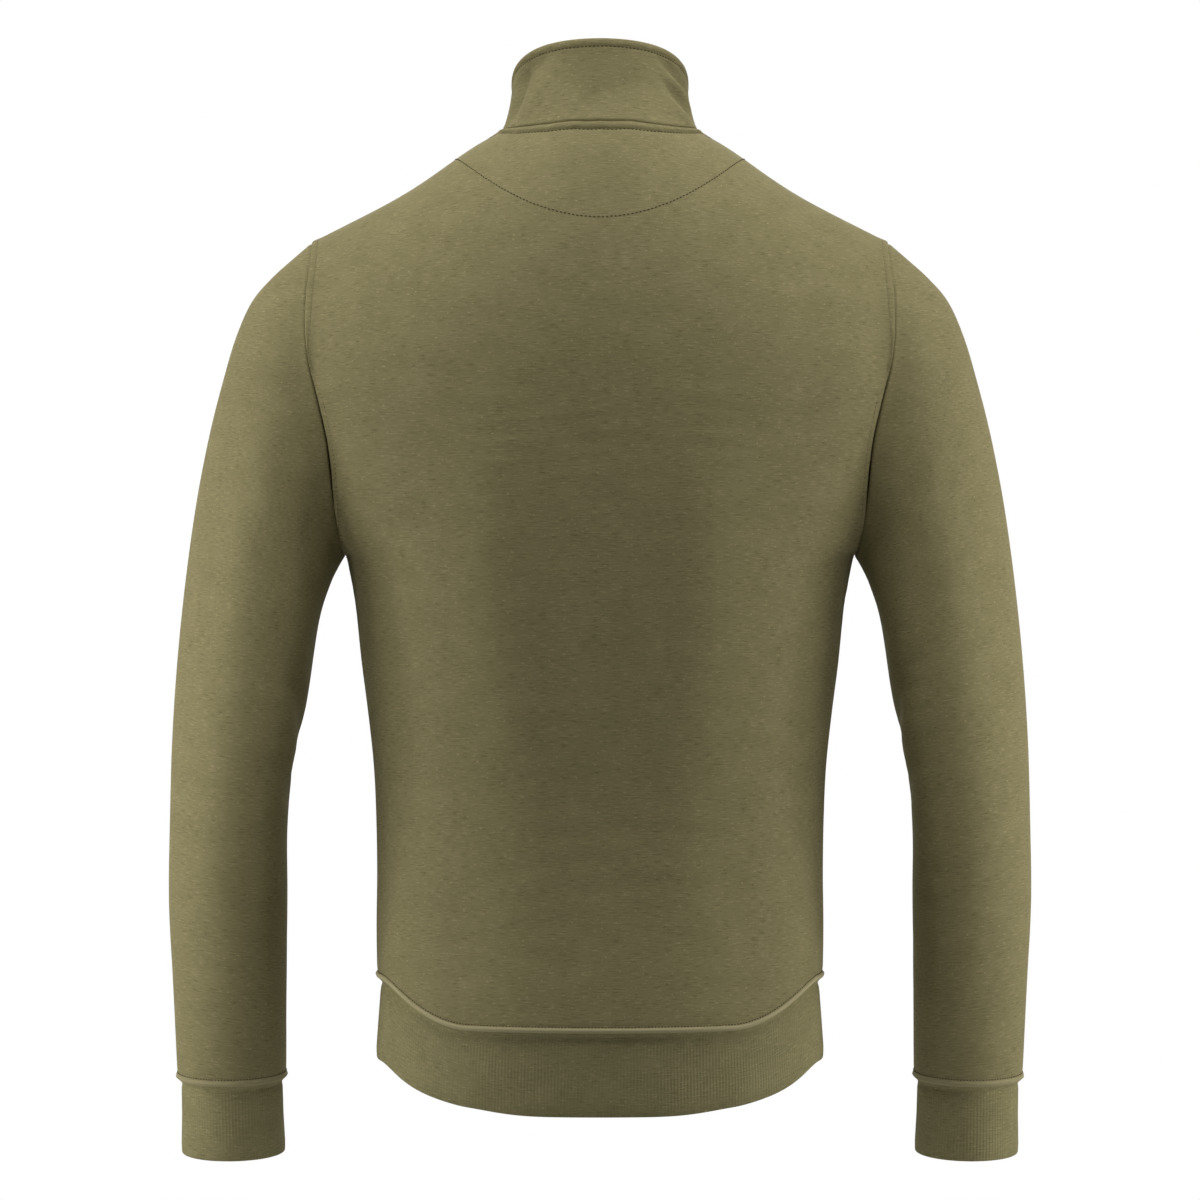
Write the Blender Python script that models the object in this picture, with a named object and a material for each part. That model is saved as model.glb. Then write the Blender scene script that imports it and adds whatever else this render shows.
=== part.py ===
"""A stand-collar sweatshirt with a short front zip, filled out as if worn. Metres, +Z up.

The front faces -Y and the wearer's left is +X. The origin is the middle of the neck, at the height where the
shoulder seams meet the collar. Every cloth piece is a wall: a grid of outer points and the same grid moved in by
the cloth's thickness. Pieces that are sewn together share their seam's points, half a seam gap to each side.
"""

import math

import bmesh
import bpy
from mathutils import Matrix, Vector

# Cloth and seams
FLEECE = 0.0018
COLLAR_CLOTH = 0.0026
RIB = 0.0024
SEAM_GAP = 0.0003

# Body: a grid of rows from the shoulder down to the hem, and columns out from the centre line to the side
YOKE_ROW, ARMPIT_ROW, HEM_ROW = 5, 10, 18
NECK_COLUMN, SIDE_COLUMN = 5, 10
NECK_SHARE = 0.5
NECK_HALF = 0.0705
SHOULDER_HALF = 0.208
RIDGE_Y = -0.008
YOKE_Z = -0.192
BACK_NECK_DEPTH, FRONT_NECK_DEPTH = 0.068, 0.080
BACK, FRONT = 1, -1
BACK_ROUND, FRONT_ROUND = 0.5, 1.0
HEM_RISE_FROM, HEM_RISE_TO = 0.36, 0.84
FRONT_LIFT = 0.017
SPINE_HALF = 0.062
SIDE_FOLD_SHARE, SIDE_FOLD_HALF = 0.867, 0.107

# Armhole: a loop from the shoulder tip (0 degrees) by the back to the armpit (180 degrees)
ARMHOLE_TOP, ARMHOLE_DROP = 0.1115, 0.113
ARMHOLE_BACK, ARMHOLE_FRONT = 0.066, 0.060
SLEEVE_COLUMNS = 20
SLEEVE_BLEND = 4

# Collar
COLLAR_ROWS = (0.0, 0.12, 0.3, 0.6, 0.85, 1.0)
COLLAR_TOP_HALF, COLLAR_TOP_DEPTH, COLLAR_TOP_Y = 0.0635, 0.0645, -0.0185
COLLAR_SIDE_Z, COLLAR_SLOPE, COLLAR_BEND = 0.0384, 0.472, -2.39

# Hem band and cuffs
HEM_BAND_HEIGHT = 0.057
CUFF_HEIGHT = 0.055

# Half-moon patch inside the back neck
PATCH_COLUMN, PATCH_END, PATCH_ROWS_DOWN, PATCH_STEPS = 6, 6.3, 2.35, 4
PATCH_CLOTH, PATCH_GAP = 0.001, 0.0024

# Zip
ZIP_HALF = 0.006
ZIP_END_ROW = 6
CHAIN_HALF, CHAIN_THICK = 0.003, 0.0024
TAPE_THICK, TAPE_REACH = 0.0008, 0.8
CHAIN_TOP_ROW = 4
SLIDER_BELOW_TOP = 0.0026
PLATE_HALF, PLATE_DOWN, PLATE_UP, PLATE_THICK, PLATE_Y = 0.0045, 0.006, 0.005, 0.0011, 0.0015
POST_HALF, POST_LOW, POST_HIGH = 0.0012, 0.0030, 0.0046
PIN_Y, PIN_RADIUS = -0.0049, 0.0006
CHEEK_IN, CHEEK_OUT, CHEEK_HALF, CHEEK_Y = 0.0017, 0.0025, 0.0018, -0.0061
SUNK = 0.0002
EYE_IN, EYE_OUT, EYE_HALF = 0.0010, 0.0019, 0.0012
PULL_HALF, PULL_TOP, PULL_LENGTH, PULL_THICK = 0.0033, 0.0055, 0.024, 0.0014
NECK_TOP, NECK_LOW = 0.0012, 0.0060
SLOT_HALF, SLOT_TOP, SLOT_LOW = 0.0016, 0.0170, 0.0215
STOP_HALF, STOP_TALL, STOP_THICK, STOP_UP = 0.0022, 0.0030, 0.0010, 0.0025


class Table:
    """Rows of named columns. Calling it reads every column at one value of the first, along smooth curves."""

    def __init__(self, columns, *rows):
        self.columns = columns.split()
        self.rows = rows

    def slope(self, i, j):
        before, after = self.rows[max(i - 1, 0)], self.rows[min(i + 1, len(self.rows) - 1)]
        return (after[j] - before[j]) / (after[0] - before[0])

    def __call__(self, key):
        last = len(self.rows) - 2
        i = next((i for i in range(last + 1) if key <= self.rows[i + 1][0]), last)
        low, high = self.rows[i], self.rows[i + 1]
        span = high[0] - low[0]
        t = min(max((key - low[0]) / span, 0.0), 1.0)
        values = {}
        for j, name in enumerate(self.columns):
            ease = t * t * (3 - 2 * t)
            bend = t * (1 - t) ** 2 * self.slope(i, j) - t * t * (1 - t) * self.slope(i + 1, j)
            values[name] = low[j] + (high[j] - low[j]) * ease + bend * span
        return values


# Height of the shoulder's ridge at a distance out from the centre line (inside the neck it only guides the shape)
RIDGE = Table(
    "out height",
    (0.0, 0.0400),
    (0.020, 0.0360),
    (0.040, 0.0235),
    (0.0705, 0.0),
    (0.089, -0.0100),
    (0.139, -0.0445),
    (0.208, -0.0805),
)

# How far out the armhole seam lies, going round it
ARMHOLE = Table(
    "turn out",
    (0, 0.2080),
    (30, 0.2070),
    (55, 0.2085),
    (75, 0.2065),
    (90, 0.2000),
    (108, 0.1925),
    (130, 0.1893),
    (155, 0.1872),
    (180, 0.1830),
)

# Level sections of the body: height at the centre, how deep it is there, how far round it turns, how square it is
BODY = Table(
    "row mid_z back front turn square",
    (5, -0.192, 0.112, -0.128, 62, 1.00),
    (7.5, -0.262, 0.113, -0.132, 74, 1.00),
    (10, -0.333, 0.110, -0.130, 90, 1.00),
    (12, -0.409, 0.103, -0.126, 90, 1.02),
    (14, -0.485, 0.097, -0.121, 90, 1.02),
    (16, -0.560, 0.101, -0.118, 90, 0.97),
    (18, -0.636, 0.113, -0.116, 90, 0.90),
)

# The side seam below the armpit
SIDE = Table(
    "row height out seam_y",
    (10, -0.305, 0.1830, -0.008),
    (11, -0.343, 0.1765, -0.006),
    (12, -0.381, 0.1720, -0.004),
    (13, -0.419, 0.1670, -0.003),
    (14, -0.457, 0.1630, -0.002),
    (15, -0.495, 0.1612, -0.001),
    (16, -0.533, 0.1605, 0.0),
    (17, -0.570, 0.1608, 0.0),
    (18, -0.608, 0.1600, 0.0),
)

# The soft hollow down the middle of the back, and the fold beside each side seam
FOLDS = Table(
    "row spine side",
    (0, 0.0, 0.0),
    (4, 0.0005, 0.0),
    (7, 0.0015, 0.0),
    (11, 0.0020, 0.0),
    (13, 0.0020, 0.001),
    (15, 0.0020, 0.006),
    (16.5, 0.0010, 0.006),
    (18, 0.0, 0.0),
)

# Sections of a sleeve: its outermost and innermost points seen from behind, its half depth, its middle, and how
# many degrees it leans forward
SLEEVE = Table(
    "row out_x out_z in_x in_z depth mid_y lean",
    (0, 0.2080, -0.0805, 0.1830, -0.3050, 0.0630, -0.008, 0),
    (1, 0.2215, -0.0925, 0.1858, -0.3095, 0.0625, -0.005, 0),
    (2, 0.2365, -0.1065, 0.1892, -0.3155, 0.0640, -0.003, 0),
    (3, 0.2505, -0.1235, 0.1930, -0.3230, 0.0655, -0.002, 0),
    (4, 0.2615, -0.1490, 0.1965, -0.3325, 0.0665, 0.000, 0),
    (5, 0.2705, -0.1800, 0.2000, -0.3435, 0.0670, 0.002, 0),
    (6, 0.2800, -0.2180, 0.2028, -0.3560, 0.0670, 0.003, 0),
    (7, 0.2890, -0.2650, 0.2055, -0.3740, 0.0660, 0.005, 0),
    (8, 0.2965, -0.3180, 0.2088, -0.3980, 0.0645, 0.006, 0),
    (9, 0.3025, -0.3750, 0.2135, -0.4270, 0.0620, 0.007, 0),
    (10, 0.3068, -0.4350, 0.2205, -0.4610, 0.0585, 0.006, 1),
    (11, 0.3092, -0.4950, 0.2252, -0.5020, 0.0555, 0.001, 3),
    (12, 0.3108, -0.5550, 0.2258, -0.5520, 0.0520, -0.006, 3),
    (13, 0.3088, -0.6150, 0.2270, -0.6100, 0.0475, -0.014, 2),
    (14, 0.3064, -0.6845, 0.2280, -0.6845, 0.0430, -0.022, 2),
)

# The ribbed bands: how far down each ring lies, as a share of the height, and how far it is pulled in
HEM_RINGS = ((0.0, 0.0), (0.12, 0.0020), (0.5, 0.0012), (1.0, -0.0005))
CUFF_RINGS = ((0.0, 0.0), (0.10, 0.0022), (0.5, 0.0026), (1.0, 0.0018))


def material(name, colour, roughness, metallic=0.0):
    made = bpy.data.materials.new(name)
    made.use_nodes = True
    shader = made.node_tree.nodes["Principled BSDF"]
    shader.inputs["Base Color"].default_value = (*colour, 1.0)
    shader.inputs["Roughness"].default_value = roughness
    shader.inputs["Metallic"].default_value = metallic
    return made


def add_mesh(name, bm, finish, smooth=True):
    bmesh.ops.recalc_face_normals(bm, faces=bm.faces)
    mesh = bpy.data.meshes.new(name)
    bm.to_mesh(mesh)
    bm.free()
    mesh.materials.append(finish)
    if smooth:
        mesh.shade_smooth()
        mesh.set_sharp_from_angle(angle=math.radians(40))
    made = bpy.data.objects.new(name, mesh)
    bpy.context.scene.collection.objects.link(made)
    return made


def cloth(name, outer, inner, finish, closed=False, left_out=()):
    """One closed wall between two grids of points. left_out lists the (row, column) cells that stay open."""
    bm = bmesh.new()
    rows, columns = len(outer), len(outer[0])
    cells = [(r, c) for r in range(rows - 1) for c in range(columns if closed else columns - 1)]
    cells = [cell for cell in cells if cell not in left_out]
    corners = {}

    def corner(face, r, c):
        key = (face, r, c % columns)
        if key not in corners:
            grid = inner if face else outer
            corners[key] = bm.verts.new(grid[r][c % columns])
        return corners[key]

    edges = set()
    for r, c in cells:
        loop = [(r, c), (r, c + 1), (r + 1, c + 1), (r + 1, c)]
        bm.faces.new([corner(0, *at) for at in loop])
        bm.faces.new([corner(1, *at) for at in reversed(loop)])
        loop = [(at[0], at[1] % columns) for at in loop]
        edges |= set(zip(loop, loop[1:] + loop[:1]))
    for start, end in edges:
        if (end, start) not in edges:
            bm.faces.new([corner(0, *end), corner(0, *start), corner(1, *start), corner(1, *end)])
    return add_mesh(name, bm, finish)


def outward(grid, r, c, closed):
    """The surface's direction at one point of a grid, from the points around it."""
    last_row, columns = len(grid) - 1, len(grid[0])
    down = grid[min(r + 1, last_row)][c] - grid[max(r - 1, 0)][c]
    if closed:
        across = grid[r][(c + 1) % columns] - grid[r][c - 1]
    else:
        across = grid[r][min(c + 1, columns - 1)] - grid[r][max(c - 1, 0)]
    return across.cross(down).normalized()


def moved_in(grid, thick, way, closed=False, edge_way=None):
    """The inner grid of a wall. edge_way gives the shared direction at a seam, or None away from one."""
    inner = []
    for r, row in enumerate(grid):
        inner.append([])
        for c, point in enumerate(row):
            direction = edge_way(r, c, point) if edge_way else None
            if direction is None:
                direction = -way * outward(grid, r, c, closed)
            inner[-1].append(point + direction * thick)
    return inner


# Body


def turn_share(c):
    """How much of a section's turn a column has made, from 0 at the centre line to 1 at the side."""
    c = abs(c)
    if c <= NECK_COLUMN:
        return NECK_SHARE * c / NECK_COLUMN
    return NECK_SHARE + (1 - NECK_SHARE) * (c - NECK_COLUMN) / (SIDE_COLUMN - NECK_COLUMN)


def armhole(turn, face):
    """A point of the left armhole seam. turn runs from the shoulder tip to the armpit, by the back or the front."""
    angle = math.radians(turn)
    depth = ARMHOLE_BACK if face == BACK else ARMHOLE_FRONT
    reach = ARMHOLE_TOP if turn < 90 else ARMHOLE_DROP
    out = ARMHOLE(turn)["out"]
    return Vector((out, RIDGE_Y + face * depth * math.sin(angle), YOKE_Z + reach * math.cos(angle)))


def section_point(c, edge, deep, turn, square):
    """Out and deep places of a column on a rounded section that ends at the point edge."""
    angle = math.radians(turn) * turn_share(c)
    last = math.radians(turn)
    out = edge.x * (math.sin(angle) / math.sin(last)) ** square
    end = math.cos(last) ** square if turn < 90 else 0.0
    share = (max(math.cos(angle), 0.0) ** square - end) / (1 - end)
    return out, edge.y + (deep - edge.y) * share


def yoke_depth(out, face):
    """How deep the yoke row lies at a distance out from the centre line."""
    row = BODY(YOKE_ROW)
    edge = armhole(90, face)
    last = math.radians(row["turn"])
    angle = math.asin(min(out / edge.x, 1.0) * math.sin(last))
    share = (math.cos(angle) - math.cos(last)) / (1 - math.cos(last))
    deep = row["back"] if face == BACK else row["front"]
    return edge.y + (deep - edge.y) * share


def shoulder_height(out, y, face):
    """Height of the shoulders and the yoke over a place seen from above."""
    share = min(abs((y - RIDGE_Y) / (yoke_depth(out, face) - RIDGE_Y)), 1.0)
    roundness = BACK_ROUND
    if face == FRONT:
        roundness += (FRONT_ROUND - BACK_ROUND) * (1 - min(out / SHOULDER_HALF, 1.0) ** 2)
    ridge = RIDGE(min(out, SHOULDER_HALF))["height"]
    return YOKE_Z + (ridge - YOKE_Z) * (1 - share * share) ** roundness


def top_edge(c, face):
    """Out and deep places on the neck seam, then along the shoulder seam."""
    c = abs(c)
    if c <= NECK_COLUMN:
        angle = math.radians(90 * c / NECK_COLUMN)
        depth = BACK_NECK_DEPTH if face == BACK else FRONT_NECK_DEPTH
        return NECK_HALF * math.sin(angle), RIDGE_Y + face * depth * math.cos(angle)
    share = (c - NECK_COLUMN) / (SIDE_COLUMN - NECK_COLUMN)
    return NECK_HALF + (SHOULDER_HALF - NECK_HALF) * share, RIDGE_Y


def body_point(r, c, side, face):
    """A point of the body's outer surface at a row and a column. side is 1 on the wearer's left, -1 on the right."""
    c = abs(c)
    row = BODY(max(r, YOKE_ROW))
    deep = row["back"] if face == BACK else row["front"]
    folds = FOLDS(r)
    if r <= YOKE_ROW:
        share = r / YOKE_ROW
        top_out, top_y = top_edge(c, face)
        yoke_out, yoke_y = section_point(c, armhole(90, face), deep, row["turn"], row["square"])
        seam_out = SHOULDER_HALF + (armhole(90, face).x - SHOULDER_HALF) * share
        bulge = (ARMHOLE(90 * share)["out"] - seam_out) * (c / SIDE_COLUMN) ** 4
        out = top_out + (yoke_out - top_out) * share + bulge
        y = top_y + (yoke_y - top_y) * math.sin(math.radians(90 * share))
        z = shoulder_height(out, y, face)
    else:
        if r < ARMPIT_ROW:
            edge = armhole(90 * (r - YOKE_ROW) / (ARMPIT_ROW - YOKE_ROW) + 90, face)
        else:
            seam = SIDE(r)
            edge = Vector((seam["out"], seam["seam_y"], seam["height"]))
        out, y = section_point(c, edge, deep, row["turn"], row["square"])
        middle_z = row["mid_z"]
        if face == FRONT:
            middle_z += FRONT_LIFT * (r - YOKE_ROW) / (HEM_ROW - YOKE_ROW)
        rise = (turn_share(c) - HEM_RISE_FROM) / (HEM_RISE_TO - HEM_RISE_FROM)
        rise = min(max(rise, 0.0), 1.0)
        rise = rise * rise * (3 - 2 * rise)
        z = middle_z + (edge.z - middle_z) * rise
    if face == BACK:
        y -= folds["spine"] * math.exp(-((out / SPINE_HALF) ** 2))
        share = turn_share(c)
        fold = folds["side"] * math.exp(-(((share - SIDE_FOLD_SHARE) / SIDE_FOLD_HALF) ** 2))
        fold *= 1 - share**9
        out -= 0.6 * fold
        y -= 0.8 * fold
    else:
        out += ZIP_HALF * max(1 - c / NECK_COLUMN, 0.0)
    return Vector((side * out, y, z))


def neck_way(point):
    """Into the cloth at the neck seam, shared by the collar and the body."""
    depth = (BACK_NECK_DEPTH + FRONT_NECK_DEPTH) / 2
    level = Vector((-point.x / NECK_HALF**2, (RIDGE_Y - point.y) / depth**2, 0)).normalized()
    return (level + Vector((0, 0, -0.55))).normalized()


def hem_way(point):
    """Into the cloth at the hem seam, shared by the body and its band."""
    seam = SIDE(HEM_ROW)
    depth = BODY(HEM_ROW)["back"]
    return Vector((-point.x / seam["out"] ** 2, -point.y / depth**2, 0)).normalized()


def armhole_way(point):
    """Into the cloth at the armhole seam, shared by the body and the sleeve."""
    return Vector((0, RIDGE_Y - point.y, YOKE_Z - point.z)).normalized()


def seam_shift(r, c, side, face):
    """Half a seam gap away from each neighbour that a panel is sewn to."""
    shift = Vector()
    if (c == SIDE_COLUMN and r >= ARMPIT_ROW) or (r == 0 and c >= NECK_COLUMN):
        shift.y += face * SEAM_GAP / 2
    if c == SIDE_COLUMN and r <= ARMPIT_ROW:
        shift.x -= side * SEAM_GAP / 2
    if r == 0 and c <= NECK_COLUMN:
        shift.z -= SEAM_GAP / 2
    if r == HEM_ROW:
        shift.z += SEAM_GAP / 2
    return shift


def panel_columns(face):
    """The columns of a panel from right to left. The front has two at its centre, one on each side of the zip."""
    right = [(c, -1) for c in range(SIDE_COLUMN, 0, -1)]
    left = [(c, 1) for c in range(SIDE_COLUMN + 1)]
    return right + left if face == BACK else right + [(0, -1)] + left


def panel_grids(face):
    columns = panel_columns(face)
    outer = [
        [body_point(r, c, side, face) + seam_shift(r, c, side, face) for c, side in columns]
        for r in range(HEM_ROW + 1)
    ]

    def edge_way(r, place, point):
        c, side = columns[place]
        if r == 0 and c <= NECK_COLUMN:
            return neck_way(point)
        if c == SIDE_COLUMN and r <= ARMPIT_ROW:
            return armhole_way(point)
        if r == 0:
            return Vector((0, 0, -1))
        if r == HEM_ROW:
            return hem_way(point)
        if c == SIDE_COLUMN:
            return Vector((-side, 0, 0))
        return None

    return outer, moved_in(outer, FLEECE, face, edge_way=edge_way)


def add_back(finish):
    outer, inner = panel_grids(BACK)
    cloth("back", outer, inner, finish)
    return inner


def add_front(finish):
    outer, inner = panel_grids(FRONT)
    slit = [(r, SIDE_COLUMN) for r in range(ZIP_END_ROW)]
    cloth("front", outer, inner, finish, left_out=slit)
    return outer, inner


def add_half_moon(back_inner, finish):
    """A patch inside the back neck. Each of its columns lies on the panel's own column."""
    outer = []
    inner = []
    for step in range(PATCH_STEPS + 1):
        outer.append([])
        inner.append([])
        for place in range(SIDE_COLUMN - PATCH_COLUMN, SIDE_COLUMN + PATCH_COLUMN + 1):
            c = abs(place - SIDE_COLUMN)
            r = PATCH_ROWS_DOWN * math.sqrt(1 - (c / PATCH_END) ** 2) * step / PATCH_STEPS
            row = int(r)
            point = back_inner[row][place].lerp(back_inner[row + 1][place], r - row)
            ways = [outward(back_inner, at, place, False) for at in (row, row + 1)]
            way = ways[0].lerp(ways[1], r - row)
            outer[-1].append(point - way * PATCH_GAP)
            inner[-1].append(point - way * (PATCH_GAP + PATCH_CLOTH))
    cloth("half_moon", outer, inner, finish)


# Sleeves and cuffs


def armhole_ring_point(turn, side):
    face = BACK if turn <= 180 else FRONT
    around = turn if turn <= 180 else 360 - turn
    return body_point(around * ARMPIT_ROW / 180, SIDE_COLUMN, side, face)


def sleeve_section(r, turn, side):
    row = SLEEVE(r)
    top = Vector((row["out_x"], row["mid_y"], row["out_z"]))
    under = Vector((row["in_x"], row["mid_y"], row["in_z"]))
    angle = math.radians(turn)
    point = (top + under) / 2 + (top - under) / 2 * math.cos(angle)
    deep = row["depth"] * math.sin(angle)
    point += Vector((0, deep, -deep * math.tan(math.radians(row["lean"]))))
    point.x *= side
    return point


def sleeve_point(r, turn, side):
    """A point of the sleeve. Its first rows blend from the armhole's own loop into round sections."""
    point = sleeve_section(r, turn, side)
    if r < SLEEVE_BLEND:
        fade = (1 - r / SLEEVE_BLEND) ** 2
        point += (armhole_ring_point(turn, side) - sleeve_section(0, turn, side)) * fade
    return point


def ring_turns():
    return [360 * i / SLEEVE_COLUMNS for i in range(SLEEVE_COLUMNS)]


def ring_ways(ring):
    middle = sum(ring, Vector()) / len(ring)
    return [(middle - point).normalized() for point in ring]


def add_sleeve(name, side, finish):
    last = int(SLEEVE.rows[-1][0])
    outer = [[sleeve_point(r, turn, side) for turn in ring_turns()] for r in range(last + 1)]
    end_ways = ring_ways(outer[last])
    for first, end in zip(outer[0], outer[last]):
        first.x += side * SEAM_GAP / 2
        end.z += SEAM_GAP / 2

    def edge_way(r, c, point):
        if r == 0:
            return armhole_way(point)
        return end_ways[c] if r == last else None

    cloth(name, outer, moved_in(outer, FLEECE, -side, True, edge_way), finish, closed=True)


def add_cuff(name, side, finish):
    last = SLEEVE.rows[-1][0]
    seam = [sleeve_point(last, turn, side) for turn in ring_turns()]
    above = [sleeve_point(last - 1, turn, side) for turn in ring_turns()]
    axis = (sum(seam, Vector()) - sum(above, Vector())).normalized()
    ways = ring_ways(seam)
    outer = [
        [point + axis * CUFF_HEIGHT * down + way * pull for point, way in zip(seam, ways)]
        for down, pull in CUFF_RINGS
    ]
    for point in outer[0]:
        point.z -= SEAM_GAP / 2
    inner = [[point + way * RIB for point, way in zip(row, ways)] for row in outer]
    cloth(name, outer, inner, finish, closed=True)


# Hem band and collar


def add_hem_band(finish):
    ring = [body_point(HEM_ROW, c, side, BACK) for c, side in panel_columns(BACK)]
    front_columns = reversed(panel_columns(FRONT)[1:-1])
    ring += [body_point(HEM_ROW, c, side, FRONT) for c, side in front_columns]
    ways = [hem_way(point) for point in ring]
    outer = [
        [point + Vector((0, 0, -HEM_BAND_HEIGHT * down)) + way * pull for point, way in zip(ring, ways)]
        for down, pull in HEM_RINGS
    ]
    for point in outer[0]:
        point.z -= SEAM_GAP / 2
    inner = [[point + way * RIB for point, way in zip(row, ways)] for row in outer]
    cloth("hem_band", outer, inner, finish, closed=True)


def collar_point(share, c, side, face):
    """A point of the collar, a share of the way up from the neck seam."""
    base = body_point(0, c, side, face)
    angle = math.radians(90 * c / NECK_COLUMN)
    forward = COLLAR_TOP_DEPTH * math.cos(angle) * face
    out = COLLAR_TOP_HALF * math.sin(angle)
    if face == FRONT:
        out += ZIP_HALF * (1 - c / NECK_COLUMN)
    top = Vector((side * out, COLLAR_TOP_Y + forward, 0))
    top.z = COLLAR_SIDE_Z + COLLAR_SLOPE * forward + COLLAR_BEND * forward**2
    flared = top.lerp(base, (1 - share) ** 2)
    return Vector((flared.x, flared.y, base.z + (top.z - base.z) * share))


def collar_columns():
    """From the zip's left edge round by the back to its right edge."""
    front = [(c, FRONT) for c in range(NECK_COLUMN)]
    back = [(c, BACK) for c in range(NECK_COLUMN, 0, -1)]
    left = [(c, 1, face) for c, face in front + back]
    right = [(c, -1, face) for c, face in reversed(front + back)]
    return left + [(0, 1, BACK)] + right


def add_collar(finish):
    outer = [[collar_point(share, *column) for column in collar_columns()] for share in COLLAR_ROWS]
    for point in outer[0]:
        point.z += SEAM_GAP / 2

    def edge_way(r, c, point):
        return neck_way(point) if r == 0 else None

    inner = moved_in(outer, COLLAR_CLOTH, BACK, edge_way=edge_way)
    cloth("collar", outer, inner, finish)
    return outer, inner


# Zip


def zip_line(front, collar, edge):
    """Points up one edge of the zip's opening, as (outer, inner, next inner) triples. edge is 1 for the left."""
    front_outer, front_inner = front
    collar_outer, collar_inner = collar
    place = SIDE_COLUMN + 1 if edge == 1 else SIDE_COLUMN
    end = 0 if edge == 1 else len(collar_outer[0]) - 1
    line = [
        (front_outer[r][place], front_inner[r][place], front_inner[r][place + edge])
        for r in range(ZIP_END_ROW, 0, -1)
    ]
    for outer, inner in zip(collar_outer, collar_inner):
        line.append((outer[end], inner[end], inner[end + edge]))
    return line


def at_x(point, x):
    return Vector((x, point.y, point.z))


def add_tape(name, line, edge, finish):
    """A strip behind the cloth, from the chain's edge out to its woven edge."""
    outer = []
    inner = []
    for cloth_outer, cloth_inner, beyond in line:
        way = (cloth_inner - cloth_outer).normalized()
        near = at_x(cloth_inner, edge * (CHAIN_HALF + SEAM_GAP))
        across = [near, cloth_inner, cloth_inner.lerp(beyond, TAPE_REACH)]
        outer.append([point + way * SEAM_GAP for point in across])
        inner.append([point + way * (SEAM_GAP + TAPE_THICK) for point in across])
    cloth(name, outer, inner, finish)


def chain_middle(line):
    """The middle of the zip's thickness, going up, with the direction into the cloth."""
    middle = []
    for cloth_outer, cloth_inner, _ in line[: ZIP_END_ROW + CHAIN_TOP_ROW + 1]:
        way = (cloth_inner - cloth_outer).normalized()
        way.x = 0.0
        way.normalize()
        middle.append((at_x(cloth_inner, 0.0) + way * (SEAM_GAP + TAPE_THICK / 2), way))
    start, way = middle[0]
    middle[0] = (start.lerp(middle[1][0], 0.03), way)
    return middle


def add_chain(middle, finish):
    outer = []
    inner = []
    for point, way in middle:
        outer.append([at_x(point - way * CHAIN_THICK / 2, x) for x in (-CHAIN_HALF, CHAIN_HALF)])
        inner.append([at_x(point + way * CHAIN_THICK / 2, x) for x in (-CHAIN_HALF, CHAIN_HALF)])
    cloth("zip_chain", outer, inner, finish)


def box(bm, low, high):
    """Adds a box between two corners."""
    size = Vector(high) - Vector(low)
    middle = (Vector(high) + Vector(low)) / 2
    bmesh.ops.create_cube(bm, size=1.0, matrix=Matrix.Translation(middle) @ Matrix.Diagonal((*size, 1.0)))


def cylinder(bm, radius, half, y, segments):
    """Adds a cylinder about the X axis, at a depth y."""
    turned = Matrix.Translation((0, y, 0)) @ Matrix.Rotation(math.pi / 2, 4, "Y")
    bmesh.ops.create_cone(
        bm, segments=segments, radius1=radius, radius2=radius, depth=2 * half, cap_ends=True, matrix=turned
    )


def piece(name, finish, place, fill):
    """A hard piece: fill adds shapes to its bmesh, and place puts it on the garment."""
    bm = bmesh.new()
    fill(bm)
    made = add_mesh(name, bm, finish, smooth=False)
    made.matrix_world = place
    return made


def join(made, other, operation):
    """Adds or cuts another piece, which then stays as a hidden helper."""
    other.hide_render = True
    other.display_type = "WIRE"
    cut = made.modifiers.new(other.name, "BOOLEAN")
    cut.operation = operation
    cut.object = other


def soften(made, width, segments=2):
    bevel = made.modifiers.new("edges", "BEVEL")
    bevel.width = width
    bevel.segments = segments
    bevel.limit_method = "ANGLE"


def plate_outline(y, thick):
    """The slider's plate: wide at its shoulders, narrower at its tail."""
    shape = (
        (-0.6 * PLATE_HALF, PLATE_UP),
        (-PLATE_HALF, 0.55 * PLATE_UP),
        (-0.72 * PLATE_HALF, -PLATE_DOWN),
        (0.72 * PLATE_HALF, -PLATE_DOWN),
        (PLATE_HALF, 0.55 * PLATE_UP),
        (0.6 * PLATE_HALF, PLATE_UP),
    )

    def fill(bm):
        face = bm.faces.new([bm.verts.new((x, y, z)) for x, z in shape])
        made = bmesh.ops.extrude_face_region(bm, geom=[face])
        moved = [v for v in made["geom"] if isinstance(v, bmesh.types.BMVert)]
        bmesh.ops.translate(bm, verts=moved, vec=(0, thick, 0))

    return fill


def add_slider(place, finish):
    """Front plate, rear plate, the post between them at the top, and two cheeks that hold the pull's pin."""
    slider = piece("zip_slider", finish, place, plate_outline(-PLATE_Y, -PLATE_THICK))
    soften(slider, 0.0003)
    join(slider, piece("zip_slider_rear", finish, place, plate_outline(PLATE_Y, PLATE_THICK)), "UNION")

    def post(bm):
        box(bm, (-POST_HALF, -PLATE_Y - SUNK, POST_LOW), (POST_HALF, PLATE_Y + SUNK, POST_HIGH))

    def left_cheek(bm):
        box(bm, (CHEEK_IN, CHEEK_Y, -CHEEK_HALF), (CHEEK_OUT, SUNK - PLATE_Y - PLATE_THICK, CHEEK_HALF))

    def right_cheek(bm):
        box(bm, (-CHEEK_OUT, CHEEK_Y, -CHEEK_HALF), (-CHEEK_IN, SUNK - PLATE_Y - PLATE_THICK, CHEEK_HALF))

    def pin(bm):
        cylinder(bm, PIN_RADIUS, CHEEK_OUT - SUNK, PIN_Y, 12)

    for fill in (post, left_cheek, right_cheek, pin):
        join(slider, piece("zip_slider_" + fill.__name__, finish, place, fill), "UNION")


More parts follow.
